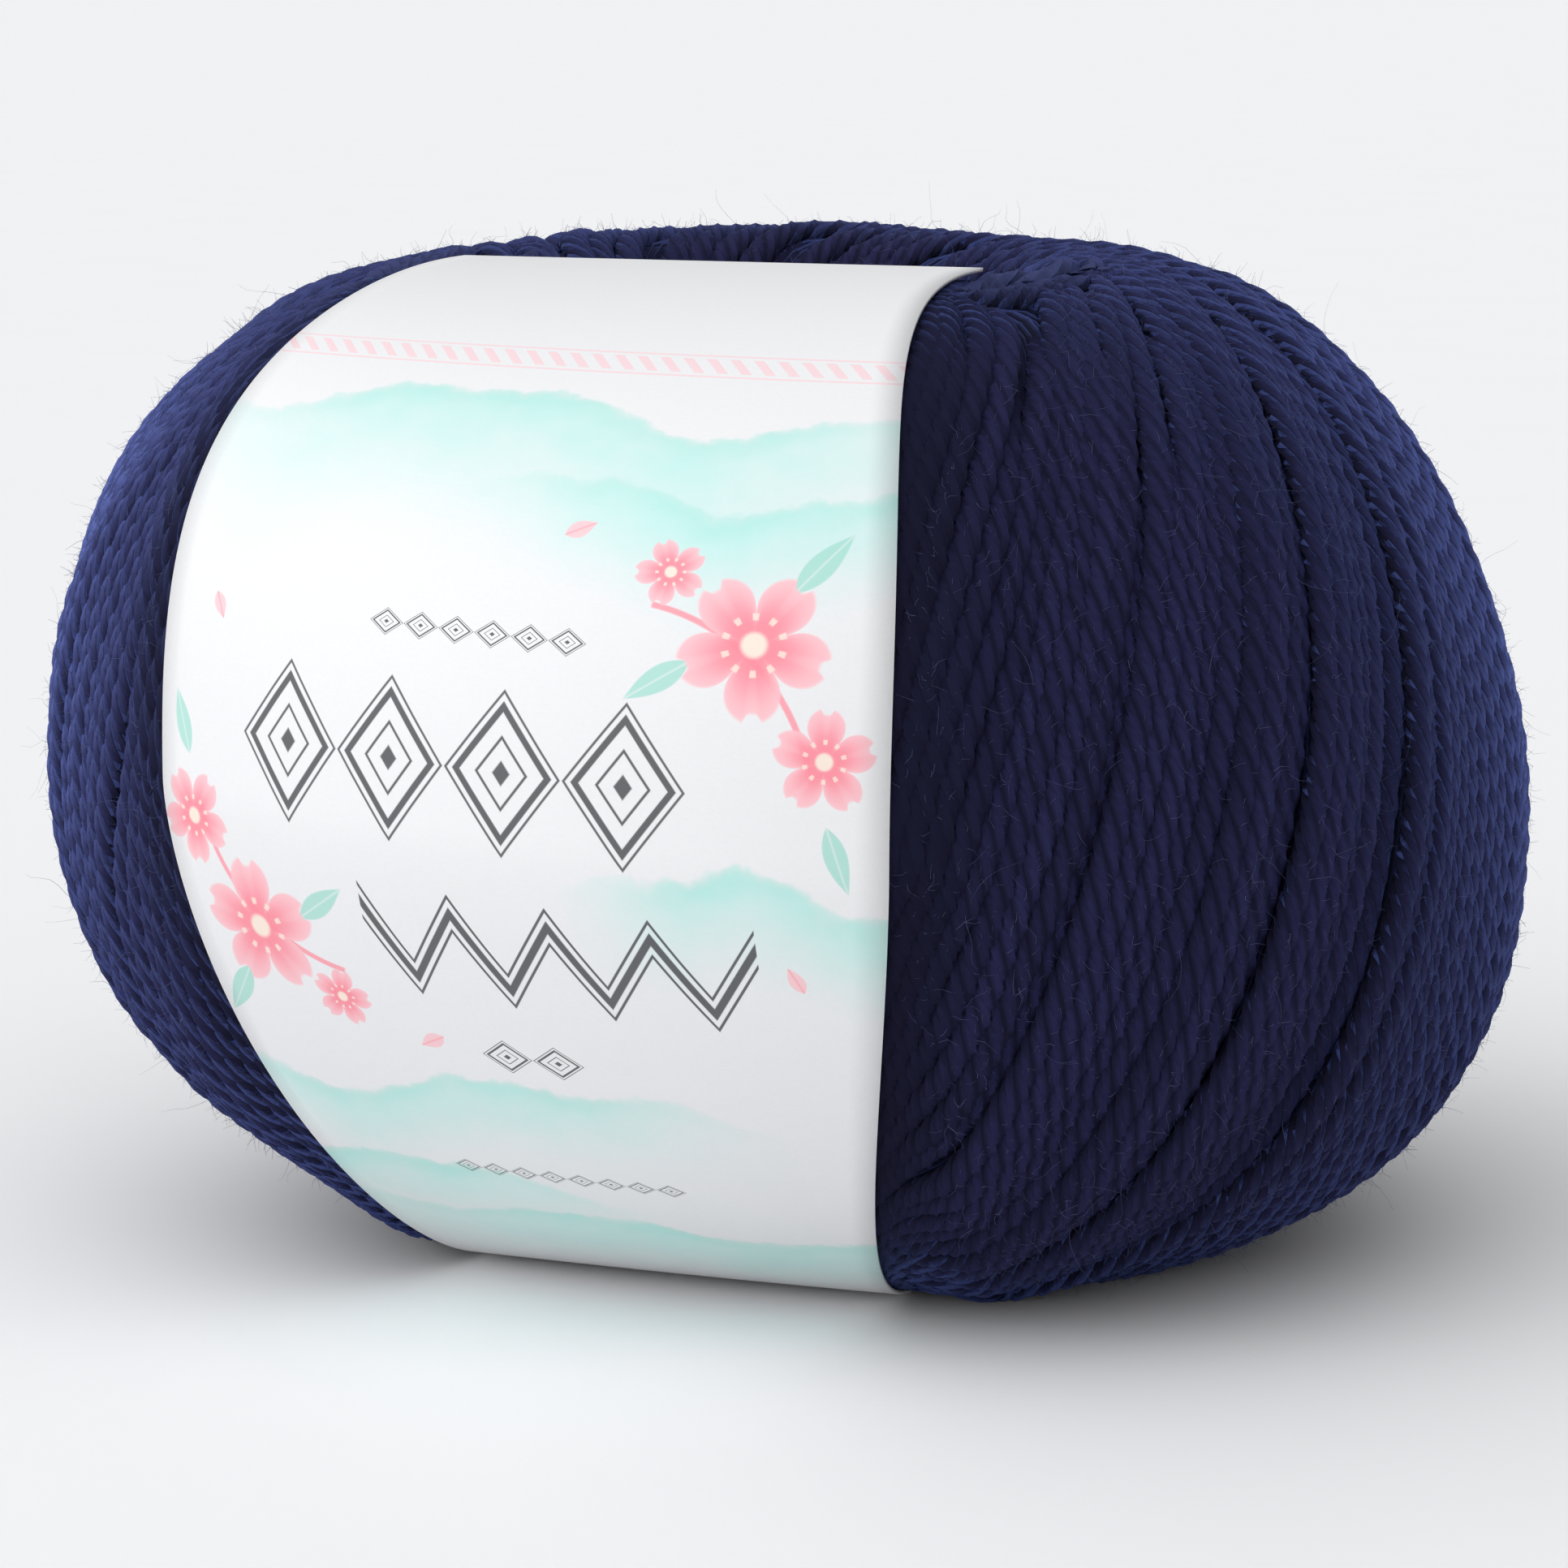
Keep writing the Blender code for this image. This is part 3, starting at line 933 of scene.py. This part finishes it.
def effect(name, places, numbers, results, result_kind=NUMBER):
    """Makes a drawing function into one that builds a node group. The function gets the
    group's nodes and its inputs, and gives back its results by name."""
    def builder(draw):
        def build():
            tree = bpy.data.node_groups.new(name, "ShaderNodeTree")
            for titles, in_out, kind in ((places, "INPUT", PLACE), (numbers, "INPUT", NUMBER),
                                         (results, "OUTPUT", result_kind)):
                for title in titles.split():
                    tree.interface.new_socket(name=title, in_out=in_out, socket_type=kind)
            nodes = Nodes(tree)
            inputs = tree.nodes.new("NodeGroupInput").outputs
            given = SimpleNamespace(**{out.name: Field(nodes, out) for out in inputs if out.name})
            nodes.fill(tree.nodes.new("NodeGroupOutput"), draw(nodes, given))
            return tree
        return build
    return builder


def new_material(name):
    made = bpy.data.materials.new(name)
    made.use_nodes = True
    return made, Nodes(made.node_tree), made.node_tree.nodes["Principled BSDF"]


@effect("fine_fibres", "place", "along across", "light height")
def fibre_effect(nodes, given):
    """Fine fibres along one direction of a map: how light and how high each place is."""
    stretch = nodes.add("CombineXYZ", (given.along, given.across, 1.0))
    drawn = nodes.vector("MULTIPLY", given.place, stretch)
    light = nodes.noise(drawn, roughness=0.6)
    height = nodes.noise(drawn, scale=1.7, detail=1.0, roughness=0.55)
    return dict(light=light, height=height)


# ---- the wool's finish ----

# The colour towards which painted shade darkens the wool
WOOL_PAINTED_SHADE = (0.0035, 0.0035, 0.009, 1)
WOOL_MID = (0.0105, 0.0105, 0.038, 1)
WOOL_LIGHT = (0.0195, 0.0195, 0.068, 1)
LOOSE_LIGHT = (0.05, 0.065, 0.19, 1)

# How much each strand's own tint, the patches along it and its fibres lighten it, and the sums
# at which it is darkest and lightest
TINT_SHARE = 0.35
PATCH_SHARE = 0.45
FIBRE_SHARE = 0.55
LIGHT_RANGE = (0.25, 1.05)
PATCH_STRETCH = (0.08, 0.3, 1)

# How far aside of a ply's ridge its groove starts and ends, and how dark the painted shade in it is
GROOVE_EDGE = (0.35, 0.95)
GROOVE_SHADE = 0.65
FIBRE_RELIEF = 0.3

# A painted sheen: at a glancing angle the colour turns a lighter blue, but not underneath nor on the
# flat of the crest: its colour, how narrow it is, and the upward slopes between which it comes in and
# goes out
PAINTED_SHEEN = (0.10, 0.128, 0.37, 1)
RIM_NARROWNESS = 3.4
RIM_COMES_IN = (-0.45, 0.25)
RIM_GOES_OUT = (1.15, 0.35)


@effect("plies", "thread", "", "roundness groove")
def ply_effect(nodes, given):
    """The round plies of a strand, on a map that counts them across: how high a place stands
    on its ply, and how deep in the groove beside it."""
    _, across = nodes.apart(given.thread)
    off = abs(nodes.math("FRACT", across) - 0.5) * 2.0
    return dict(roundness=1.0 - off * off, groove=nodes.between(off, *GROOVE_EDGE))


def wool_look(fine_fibres):
    made, nodes, shader = new_material("navy_wool")
    thread = nodes.map("thread")
    plies = nodes.effect(ply_effect(), thread=thread)
    fibre = nodes.effect(fine_fibres, place=thread, along=0.9, across=9.0).light
    patch = nodes.noise(nodes.vector("MULTIPLY", thread, PATCH_STRETCH))
    light = patch * PATCH_SHARE + fibre * FIBRE_SHARE
    light = nodes.value("tint") * TINT_SHARE + light
    colour = nodes.mix(nodes.between(light, *LIGHT_RANGE), WOOL_MID, WOOL_LIGHT)
    # Painted sheen: lighter blue at glancing angles, faded out underneath and on the flat of the
    # crest
    glancing = nodes.add("LayerWeight", output="Facing")
    outward = nodes.add("NewGeometry", output="Normal")
    slope = nodes.vector("DOT_PRODUCT", outward, (0, 0, 1))
    rim = (nodes.math("POWER", glancing, RIM_NARROWNESS)
           * nodes.between(slope, *RIM_COMES_IN) * nodes.between(slope, *RIM_GOES_OUT))
    colour = nodes.mix(rim, colour, PAINTED_SHEEN)
    # Painted shade in the ply grooves and from the point values
    shade = nodes.most(plies.groove * GROOVE_SHADE, nodes.value("painted_shade"))
    relief = nodes.bump(plies.roundness + fibre * FIBRE_RELIEF, strength=0.7, distance=0.00018)
    nodes.fill(shader, {"Base Color": nodes.mix(shade, colour, WOOL_PAINTED_SHADE), "Roughness": 0.85,
                        "Specular IOR Level": 0.08, "Sheen Weight": 0.30,
                        "Sheen Roughness": 0.30, "Sheen Tint": (0.22, 0.32, 1.0, 1),
                        "Normal": relief})
    return made


def fibre_look(fine_fibres):
    made, nodes, shader = new_material("loose_wool")
    place = nodes.add("TexCoord", output="Object")
    light = nodes.effect(fine_fibres, place=place, along=400.0, across=400.0).light
    nodes.fill(shader, {"Base Color": nodes.mix(light, WOOL_MID, LOOSE_LIGHT),
                        "Roughness": 0.7, "Sheen Weight": 0.3,
                        "Sheen Tint": (0.5, 0.6, 1.0, 1)})
    return made


# ---- the printed design ----

# All in millimetres on the flat paper: across from its middle line to the right, and up from
# the ball's widest line. A pair of numbers named EDGE or END is where a form starts to show
# and where it shows in full.
PAPER_SHADE = (0.73, 0.73, 0.74, 1)
PAPER_WHITE = (0.77, 0.77, 0.78, 1)
MINT = (0.46, 0.75, 0.71, 1)
MINT_RIM = (0.30, 0.66, 0.58, 1)
LEAF_GREEN = (0.33, 0.64, 0.56, 1)
PINK = (0.88, 0.235, 0.30, 1)
PALE_PINK = (0.87, 0.50, 0.54, 1)
CREAM = (0.86, 0.72, 0.62, 1)
CHARCOAL = (0.055, 0.055, 0.062, 1)

WASH_COLUMNS = ("crest", "swell", "wave", "shift", "depth", "middle", "half_width")
WASHES = (
    (29.5, 1.7, 33.0, 2.4, 14.0, 2.0, 34.0),
    (23.0, 1.1, 21.0, 0.5, 9.0, 15.0, 20.0),
    (-1.5, 1.3, 26.0, 4.2, 9.0, 19.0, 15.0),
    (-19.0, 1.5, 37.0, 1.2, 9.0, -8.0, 26.0),
    (-28.5, 1.4, 29.0, 3.9, 9.0, -16.0, 22.0),
    (-33.0, 0.8, 24.0, 1.9, 12.0, 6.0, 34.0),
)
WASH_STRENGTH = 0.88
WASH_EDGE = (-0.1, 0.9)
WASH_RAGGEDNESS = 2.4
WASH_MOTTLING = 0.9
RIM_STRENGTH = 0.30
RIM_EDGE = (-0.1, 0.4)
RIM_FADE = (2.6, 0.3)
WINDOW_EDGE = (1.0, 0.25)
RIPPLE_WAVES = 2.3
RIPPLE_SHARE = 0.35

# Each spray of blossom is drawn twice, the second one turned half round this point. The rows
# are counted from it.
SPRAY_MIDDLE = (-0.4, 2.4, 0)
SPRAY_SIDE_LEAN = 0.15

# x, y, radius, turn
BLOSSOMS = (
    (17.0, 11.0, 4.9, 0.25),
    (21.7, 4.3, 3.3, 0.95),
    (11.4, 15.2, 2.3, 0.55),
)
PETAL_LOBES = 5
PETAL_CLEFT = 0.42
PETAL_ROUNDNESS = 0.5
PETAL_NOTCH = 0.12
NOTCH_EDGE = (0.94, 1.0)
PETAL_EDGE = (0.0, 0.07)
PETAL_FADE = (0.25, 1.05)
THROAT_EDGE = (0.20, 0.12)
DOTS_OUT = 0.36
DOTS_EDGE = (0.060, 0.030)
SPOT_EDGE = (0.35, 0.65)
DOTS_STRENGTH = 0.8
PETAL_STRENGTH = 0.95

# x, y, half length, turn, fullness
LEAVES = (
    (20.4, 16.4, 2.6, 0.95, 0.34),
    (11.4, 8.4, 2.4, 3.75, 0.34),
    (22.6, -1.6, 2.2, -1.25, 0.34),
)
PETALS_ADRIFT = (
    (5.4, 17.6, 1.1, 0.5, 0.55),
    (-6.0, 19.5, 0.9, 2.4, 0.55),
    (19.5, -9.5, 1.0, 2.0, 0.55),
)
LEAF_TAPER = 0.3
LEAF_EDGE = (0.0, 0.12)
VEIN_EDGE = (0.10, 0.03)
LEAF_STRENGTH = 0.85
VEIN_STRENGTH = 0.45

TWIG = dict(centre=(8.6, 0.6, 0), radius=12.6, toward=0.80, spread=0.62)
TWIG_EDGE = (0.26, 0.12)
TWIG_END = (0.0, 0.01)
TWIG_STRENGTH = 0.8

# Nested diamonds: where each line runs, from 0 at the middle to 1 at the outline, and half
# its width
DIAMOND_LINES = ((0.96, 0.020), (0.78, 0.060), (0.42, 0.022))
DIAMOND_DOT_EDGE = (0.17, 0.13)
DIAMOND_LINE_EDGE = (0.02, -0.01)
DIAMOND_ROWS = (
    dict(centre=(-2.0, 4.2, 0), pitch=7.6, half_height=5.2, half_row=15.2),
    dict(centre=(-0.6, 12.6, 0), pitch=2.4, half_height=0.9, half_row=7.2),
    dict(centre=(1.0, -15.6, 0), pitch=3.4, half_height=1.4, half_row=3.4),
    dict(centre=(-0.4, -27.6, 0), pitch=2.0, half_height=0.75, half_row=8.0),
)
ZIGZAG_ROW = dict(centre=(4.2, -7.6, 0), pitch=6.4, height=5.0, half_row=12.8)
ZIGZAG_EDGE = (0.52, 0.36)
ZIGZAG_FINE_EDGE = (0.22, 0.10)
ZIGZAG_FINE_OFFSET = 1.15
ROW_END = (0.0, 0.05)
INK_STRENGTH = 0.93

HATCH = dict(middle=34.2, half_height=1.15, pitch=1.5)
HATCH_SLANT = 0.8
DASH_EDGE = (0.25, 0.19)
DASH_END = (0.30, 0.42)
BORDER_EDGE = (0.12, 0.05)
HATCH_STRENGTH = 0.55


@effect("blossom", "place centre", "radius turn", "petals outward throat dots")
def blossom_effect(nodes, given):
    """A five-petalled blossom: its petals, how far out a place is in them, its throat and the
    ring of dots round the throat."""
    across, up = nodes.apart(given.place, given.centre)
    reach = nodes.vector("DISTANCE", given.place, given.centre) / given.radius
    angle = nodes.math("ARCTAN2", up, across) + given.turn
    lobe = abs(nodes.math("COSINE", angle * (PETAL_LOBES / 2)))
    rounded = nodes.math("POWER", lobe, PETAL_ROUNDNESS) * (1 - PETAL_CLEFT)
    outline = rounded + PETAL_CLEFT - nodes.between(lobe, *NOTCH_EDGE) * PETAL_NOTCH
    spots = nodes.between(nodes.math("COSINE", angle * (2 * PETAL_LOBES)), *SPOT_EDGE)
    return dict(petals=nodes.between(outline - reach, *PETAL_EDGE), outward=reach / outline,
                throat=nodes.between(reach, *THROAT_EDGE),
                dots=nodes.between(abs(reach - DOTS_OUT), *DOTS_EDGE) * spots)


@effect("leaf", "place centre ahead", "half_length fullness", "leaf vein")
def leaf_effect(nodes, given):
    """A pointed leaf or a lone petal, and the vein along its middle. `ahead` is the unit
    direction in which it points."""
    off = nodes.vector("SUBTRACT", given.place, given.centre)
    share = nodes.vector("DOT_PRODUCT", off, given.ahead) / given.half_length
    aside = nodes.vector("LENGTH", nodes.vector("CROSS_PRODUCT", off, given.ahead))
    rounded = nodes.most(1.0 - share * share, 0.0)
    tapered = nodes.most(1.0 - share * LEAF_TAPER, 0.0)
    half = rounded * tapered * given.fullness * given.half_length
    leaf = nodes.between(half - aside, *LEAF_EDGE)
    return dict(leaf=leaf, vein=nodes.between(aside, *VEIN_EDGE) * leaf)


@effect("half_turn", "place middle", "lean", "turned", PLACE)
def half_turn_effect(nodes, given):
    """Places on the far side of a slightly leaning line, turned half round onto the near side,
    and all of them counted from `middle`."""
    across, up = nodes.apart(given.place, given.middle)
    side = nodes.math("SIGN", across + up * given.lean)
    return dict(turned=nodes.add("CombineXYZ", (across * side, up * side)))


@effect("twig", "place centre", "radius toward spread", "twig")
def twig_effect(nodes, given):
    """A thin arc of a circle, between two ends on both sides of one direction."""
    across, up = nodes.apart(given.place, given.centre)
    off = abs(nodes.vector("DISTANCE", given.place, given.centre) - given.radius)
    turned = nodes.math("ARCTAN2", up, across) - given.toward
    within = nodes.math("COSINE", turned) - nodes.math("COSINE", given.spread)
    return dict(twig=nodes.between(off, *TWIG_EDGE) * nodes.between(within, *TWIG_END))


@effect("wash", "place", "ragged mottled " + " ".join(WASH_COLUMNS), "wash rim")
def wash_effect(nodes, given):
    """A rolling wash of thin colour with a crisp upper edge that fades downward."""
    across, up = nodes.apart(given.place)
    phase = across * math.tau / given.wave + given.shift
    ripple = nodes.math("SINE", phase * RIPPLE_WAVES + 1.0)
    roll = nodes.math("SINE", phase) + ripple * RIPPLE_SHARE
    below = given.crest + roll * given.swell + given.ragged - up
    body = nodes.between(below, *WASH_EDGE) * nodes.between(below / given.depth, 1.0, 0.0)
    aside = abs(across - given.middle) / given.half_width
    seen = nodes.between(aside, *WINDOW_EDGE) * given.mottled
    rim = nodes.between(below, *RIM_EDGE) * nodes.between(below, *RIM_FADE) * seen
    return dict(wash=body * seen, rim=rim)


def in_row(nodes, given):
    """How far up a place is in a row of cells, how far aside of its cell's middle, as a share
    of the cell, and whether it is inside the row."""
    across, up = nodes.apart(given.place, given.centre)
    aside = abs(nodes.math("FRACT", across / given.pitch) - 0.5)
    return up, aside, nodes.between(given.half_row - abs(across), *ROW_END)


@effect("diamond_row", "place centre", "pitch half_height half_row", "ink")
def diamond_effect(nodes, given):
    """A row of nested diamonds, each a heavy line between two fine ones round a dot."""
    up, aside, inside = in_row(nodes, given)
    ring = aside * 2.0 + abs(up) / given.half_height
    ink = nodes.between(ring, *DIAMOND_DOT_EDGE)
    for middle, half in DIAMOND_LINES:
        edge = [half + beyond for beyond in DIAMOND_LINE_EDGE]
        ink = nodes.most(ink, nodes.between(abs(ring - middle), *edge))
    return dict(ink=ink * inside)


@effect("zigzag_row", "place centre", "pitch height half_row", "ink")
def zigzag_effect(nodes, given):
    """A zigzag of one heavy line with a fine one above and below it."""
    up, aside, inside = in_row(nodes, given)
    off = up - (aside - 0.25) * given.height * 2.0
    ink = nodes.between(abs(off), *ZIGZAG_EDGE)
    for shift in (-ZIGZAG_FINE_OFFSET, ZIGZAG_FINE_OFFSET):
        ink = nodes.most(ink, nodes.between(abs(off + shift), *ZIGZAG_FINE_EDGE))
    return dict(ink=ink * inside)


@effect("hatched_stripe", "place", "middle half_height pitch", "ink")
def hatch_effect(nodes, given):
    """A stripe of slanted dashes between two fine lines."""
    across, up = nodes.apart(given.place)
    off = abs(up - given.middle)
    cell = nodes.math("FRACT", (across + up * HATCH_SLANT) / given.pitch)
    dashes = (nodes.between(abs(cell - 0.5), *DASH_EDGE)
              * nodes.between(given.half_height - off, *DASH_END))
    border = nodes.between(abs(off - given.half_height), *BORDER_EDGE)
    return dict(ink=nodes.most(dashes, border))


def with_washes(nodes, place, colour):
    wash = wash_effect()
    ragged = nodes.noise(place, scale=0.35, detail=3.0, roughness=0.6) - 0.5
    ragged = ragged * WASH_RAGGEDNESS
    mottled = nodes.noise(place, scale=0.22, roughness=0.6) * WASH_MOTTLING + 0.5
    for row in WASHES:
        laid = nodes.effect(wash, place=place, ragged=ragged, mottled=mottled,
                            **dict(zip(WASH_COLUMNS, row)))
        colour = nodes.mix(laid.wash * WASH_STRENGTH, colour, MINT)
        colour = nodes.mix(laid.rim * RIM_STRENGTH, colour, MINT_RIM)
    return colour


def with_sprays(nodes, place, colour):
    """The twig first, then leaves, drifting petals and the blossoms over them."""
    place = nodes.effect(half_turn_effect(), place=place, middle=SPRAY_MIDDLE,
                         lean=SPRAY_SIDE_LEAN).turned
    leaf, blossom = leaf_effect(), blossom_effect()
    twig = nodes.effect(twig_effect(), place=place, **TWIG).twig
    colour = nodes.mix(twig * TWIG_STRENGTH, colour, PINK)
    for tint, vein, rows in ((LEAF_GREEN, PAPER_WHITE, LEAVES), (PALE_PINK, PINK, PETALS_ADRIFT)):
        for x, y, half_length, turn, fullness in rows:
            drawn = nodes.effect(leaf, place=place, centre=(x, y, 0), half_length=half_length,
                                 ahead=(math.cos(turn), math.sin(turn), 0), fullness=fullness)
            colour = nodes.mix(drawn.leaf * LEAF_STRENGTH, colour, tint)
            colour = nodes.mix(drawn.vein * VEIN_STRENGTH, colour, vein)
    for x, y, radius, turn in BLOSSOMS:
        drawn = nodes.effect(blossom, place=place, centre=(x, y, 0), radius=radius, turn=turn)
        petal = nodes.mix(nodes.between(drawn.outward, *PETAL_FADE), PINK, PALE_PINK)
        petal = nodes.mix(drawn.dots * DOTS_STRENGTH, petal, CREAM)
        petal = nodes.mix(drawn.throat, petal, CREAM)
        colour = nodes.mix(drawn.petals * PETAL_STRENGTH, colour, petal)
    return colour


def with_ornament(nodes, place, colour):
    """The charcoal rows and the pale hatched stripe near the top."""
    diamonds = diamond_effect()
    inks = [nodes.effect(diamonds, place=place, **row).ink for row in DIAMOND_ROWS]
    inks.append(nodes.effect(zigzag_effect(), place=place, **ZIGZAG_ROW).ink)
    colour = nodes.mix(nodes.most(*inks) * INK_STRENGTH, colour, CHARCOAL)
    stripe = nodes.effect(hatch_effect(), place=place, **HATCH).ink
    return nodes.mix(stripe * HATCH_STRENGTH, colour, PALE_PINK)


PAPER_ROUGHNESS = 0.40
PULP_ROUGHNESS = 0.16


def paper_look(fine_fibres):
    made, nodes, shader = new_material("band_paper")
    place = nodes.map("print")
    pulp = nodes.effect(fine_fibres, place=place, along=3.0, across=5.0)
    colour = nodes.mix(pulp.light, PAPER_WHITE, PAPER_SHADE)
    for drawn_over in (with_washes, with_sprays, with_ornament):
        colour = drawn_over(nodes, place, colour)
    roughness = pulp.light * PULP_ROUGHNESS + PAPER_ROUGHNESS
    nodes.fill(shader, {"Base Color": colour, "Roughness": roughness, "Specular IOR Level": 0.35,
                        "Normal": nodes.bump(pulp.height, strength=0.12, distance=0.00006)})
    return made


# ---- the studio ----

FLOOR_RADIUS = 9.0
FLOOR_SHADE = (0.89, 0.89, 0.90, 1)
FLOOR_WHITE = (0.91, 0.91, 0.92, 1)

# The studio's even light, and its soft boxes as bright patches of the surroundings, with one
# dark screen to the right: azimuth and elevation in degrees, half width in degrees, strength
# at the middle
AMBIENT = 0.50
STUDIO_WHITE = (0.985, 0.99, 1.0, 1)
SOFT_BOXES = (
    (5, 45, 60, 1.32),
    (-60, 15, 60, 0.95),
    (202, 35, 60, 0.20),
    (115, 15, 75, -0.28),
)

# The camera, as fitted to the photograph
PHOTO_SIDE = 1932
CAMERA_AZIMUTH = 22
CAMERA_ELEVATION = 8
CAMERA_DISTANCE = 0.375
CAMERA_TARGET = Vector((0, 0, 0.036))
FOCAL_PIXELS = 6789
TARGET_PIXEL = (972, 867)
SENSOR = 36


def floor():
    mesh = bmesh.new()
    bmesh.ops.create_circle(mesh, cap_ends=True, segments=96, radius=FLOOR_RADIUS)
    data = bpy.data.meshes.new("floor")
    mesh.to_mesh(data)
    mesh.free()
    made, nodes, shader = new_material("floor_white")
    grain = nodes.noise(nodes.add("TexCoord", output="Object"), scale=30.0)
    nodes.fill(shader, {"Base Color": nodes.mix(grain, FLOOR_SHADE, FLOOR_WHITE),
                        "Roughness": 0.6, "Specular IOR Level": 0.1})
    ground = linked("floor", data, made)


def direction(azimuth, elevation):
    around, up = math.radians(azimuth), math.radians(elevation)
    return Vector((math.sin(around) * math.cos(up), -math.cos(around) * math.cos(up),
                   math.sin(up)))


def lights():
    """An even, pale surround with its soft boxes."""
    world = bpy.data.worlds.new("studio")
    bpy.context.scene.world = world
    world.use_nodes = True
    nodes = Nodes(world.node_tree)
    way = nodes.add("TexCoord", output="Generated")
    light = AMBIENT
    for azimuth, elevation, width, strength in SOFT_BOXES:
        toward = nodes.vector("DOT_PRODUCT", way, direction(azimuth, elevation))
        lit = nodes.between(toward, math.cos(math.radians(width)), 1.0)
        light = lit * strength + light
    nodes.fill(world.node_tree.nodes["Background"], {"Color": STUDIO_WHITE, "Strength": light})


def camera():
    """The photograph's view, aimed so that the target falls on its own pixel."""
    data = bpy.data.cameras.new("camera")
    data.sensor_width = SENSOR
    data.lens = FOCAL_PIXELS / PHOTO_SIDE * SENSOR
    data.clip_start = 0.01
    data.clip_end = 50
    eye = bpy.data.objects.new("camera", data)
    bpy.context.scene.collection.objects.link(eye)
    away = direction(CAMERA_AZIMUTH, CAMERA_ELEVATION)
    eye.location = CAMERA_TARGET + away * CAMERA_DISTANCE
    right = Vector((0, 0, 1)).cross(away).normalized()
    up = away.cross(right)
    pixel = CAMERA_DISTANCE / FOCAL_PIXELS
    middle = PHOTO_SIDE / 2
    aim = (CAMERA_TARGET - right * (TARGET_PIXEL[0] - middle) * pixel
           + up * (TARGET_PIXEL[1] - middle) * pixel)
    eye.rotation_euler = (eye.location - aim).to_track_quat("Z", "Y").to_euler()
    bpy.context.scene.camera = eye
    bpy.context.scene.view_settings.view_transform = "Standard"


# ---- putting it together ----


def main():
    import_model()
    camera()
    lights()
    floor()
    way_maker = Way()
    fine_fibres = fibre_effect()
    wool, loose = wool_look(fine_fibres), fibre_look(fine_fibres)
    paper = paper_look(fine_fibres)
    strands = strand_table(way_maker)
    pieces = [wool_core(way_maker, wool)]
    for part in range(STRAND_PIECES):
        first = part * len(strands) // STRAND_PIECES
        last = (part + 1) * len(strands) // STRAND_PIECES
        pieces.append(strand_piece(f"wool_turns_{part + 1}", strands[first:last], wool))
    for row in HALO:
        pieces.append(halo_piece(dict(zip(HALO_COLUMNS, row)), strands, loose))
    for piece in pieces:
        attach(piece, "root")
        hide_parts("wool_ball")
    band = printed_band(way_maker, paper)
    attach(band, "root")
    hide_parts("paper_band")


main()
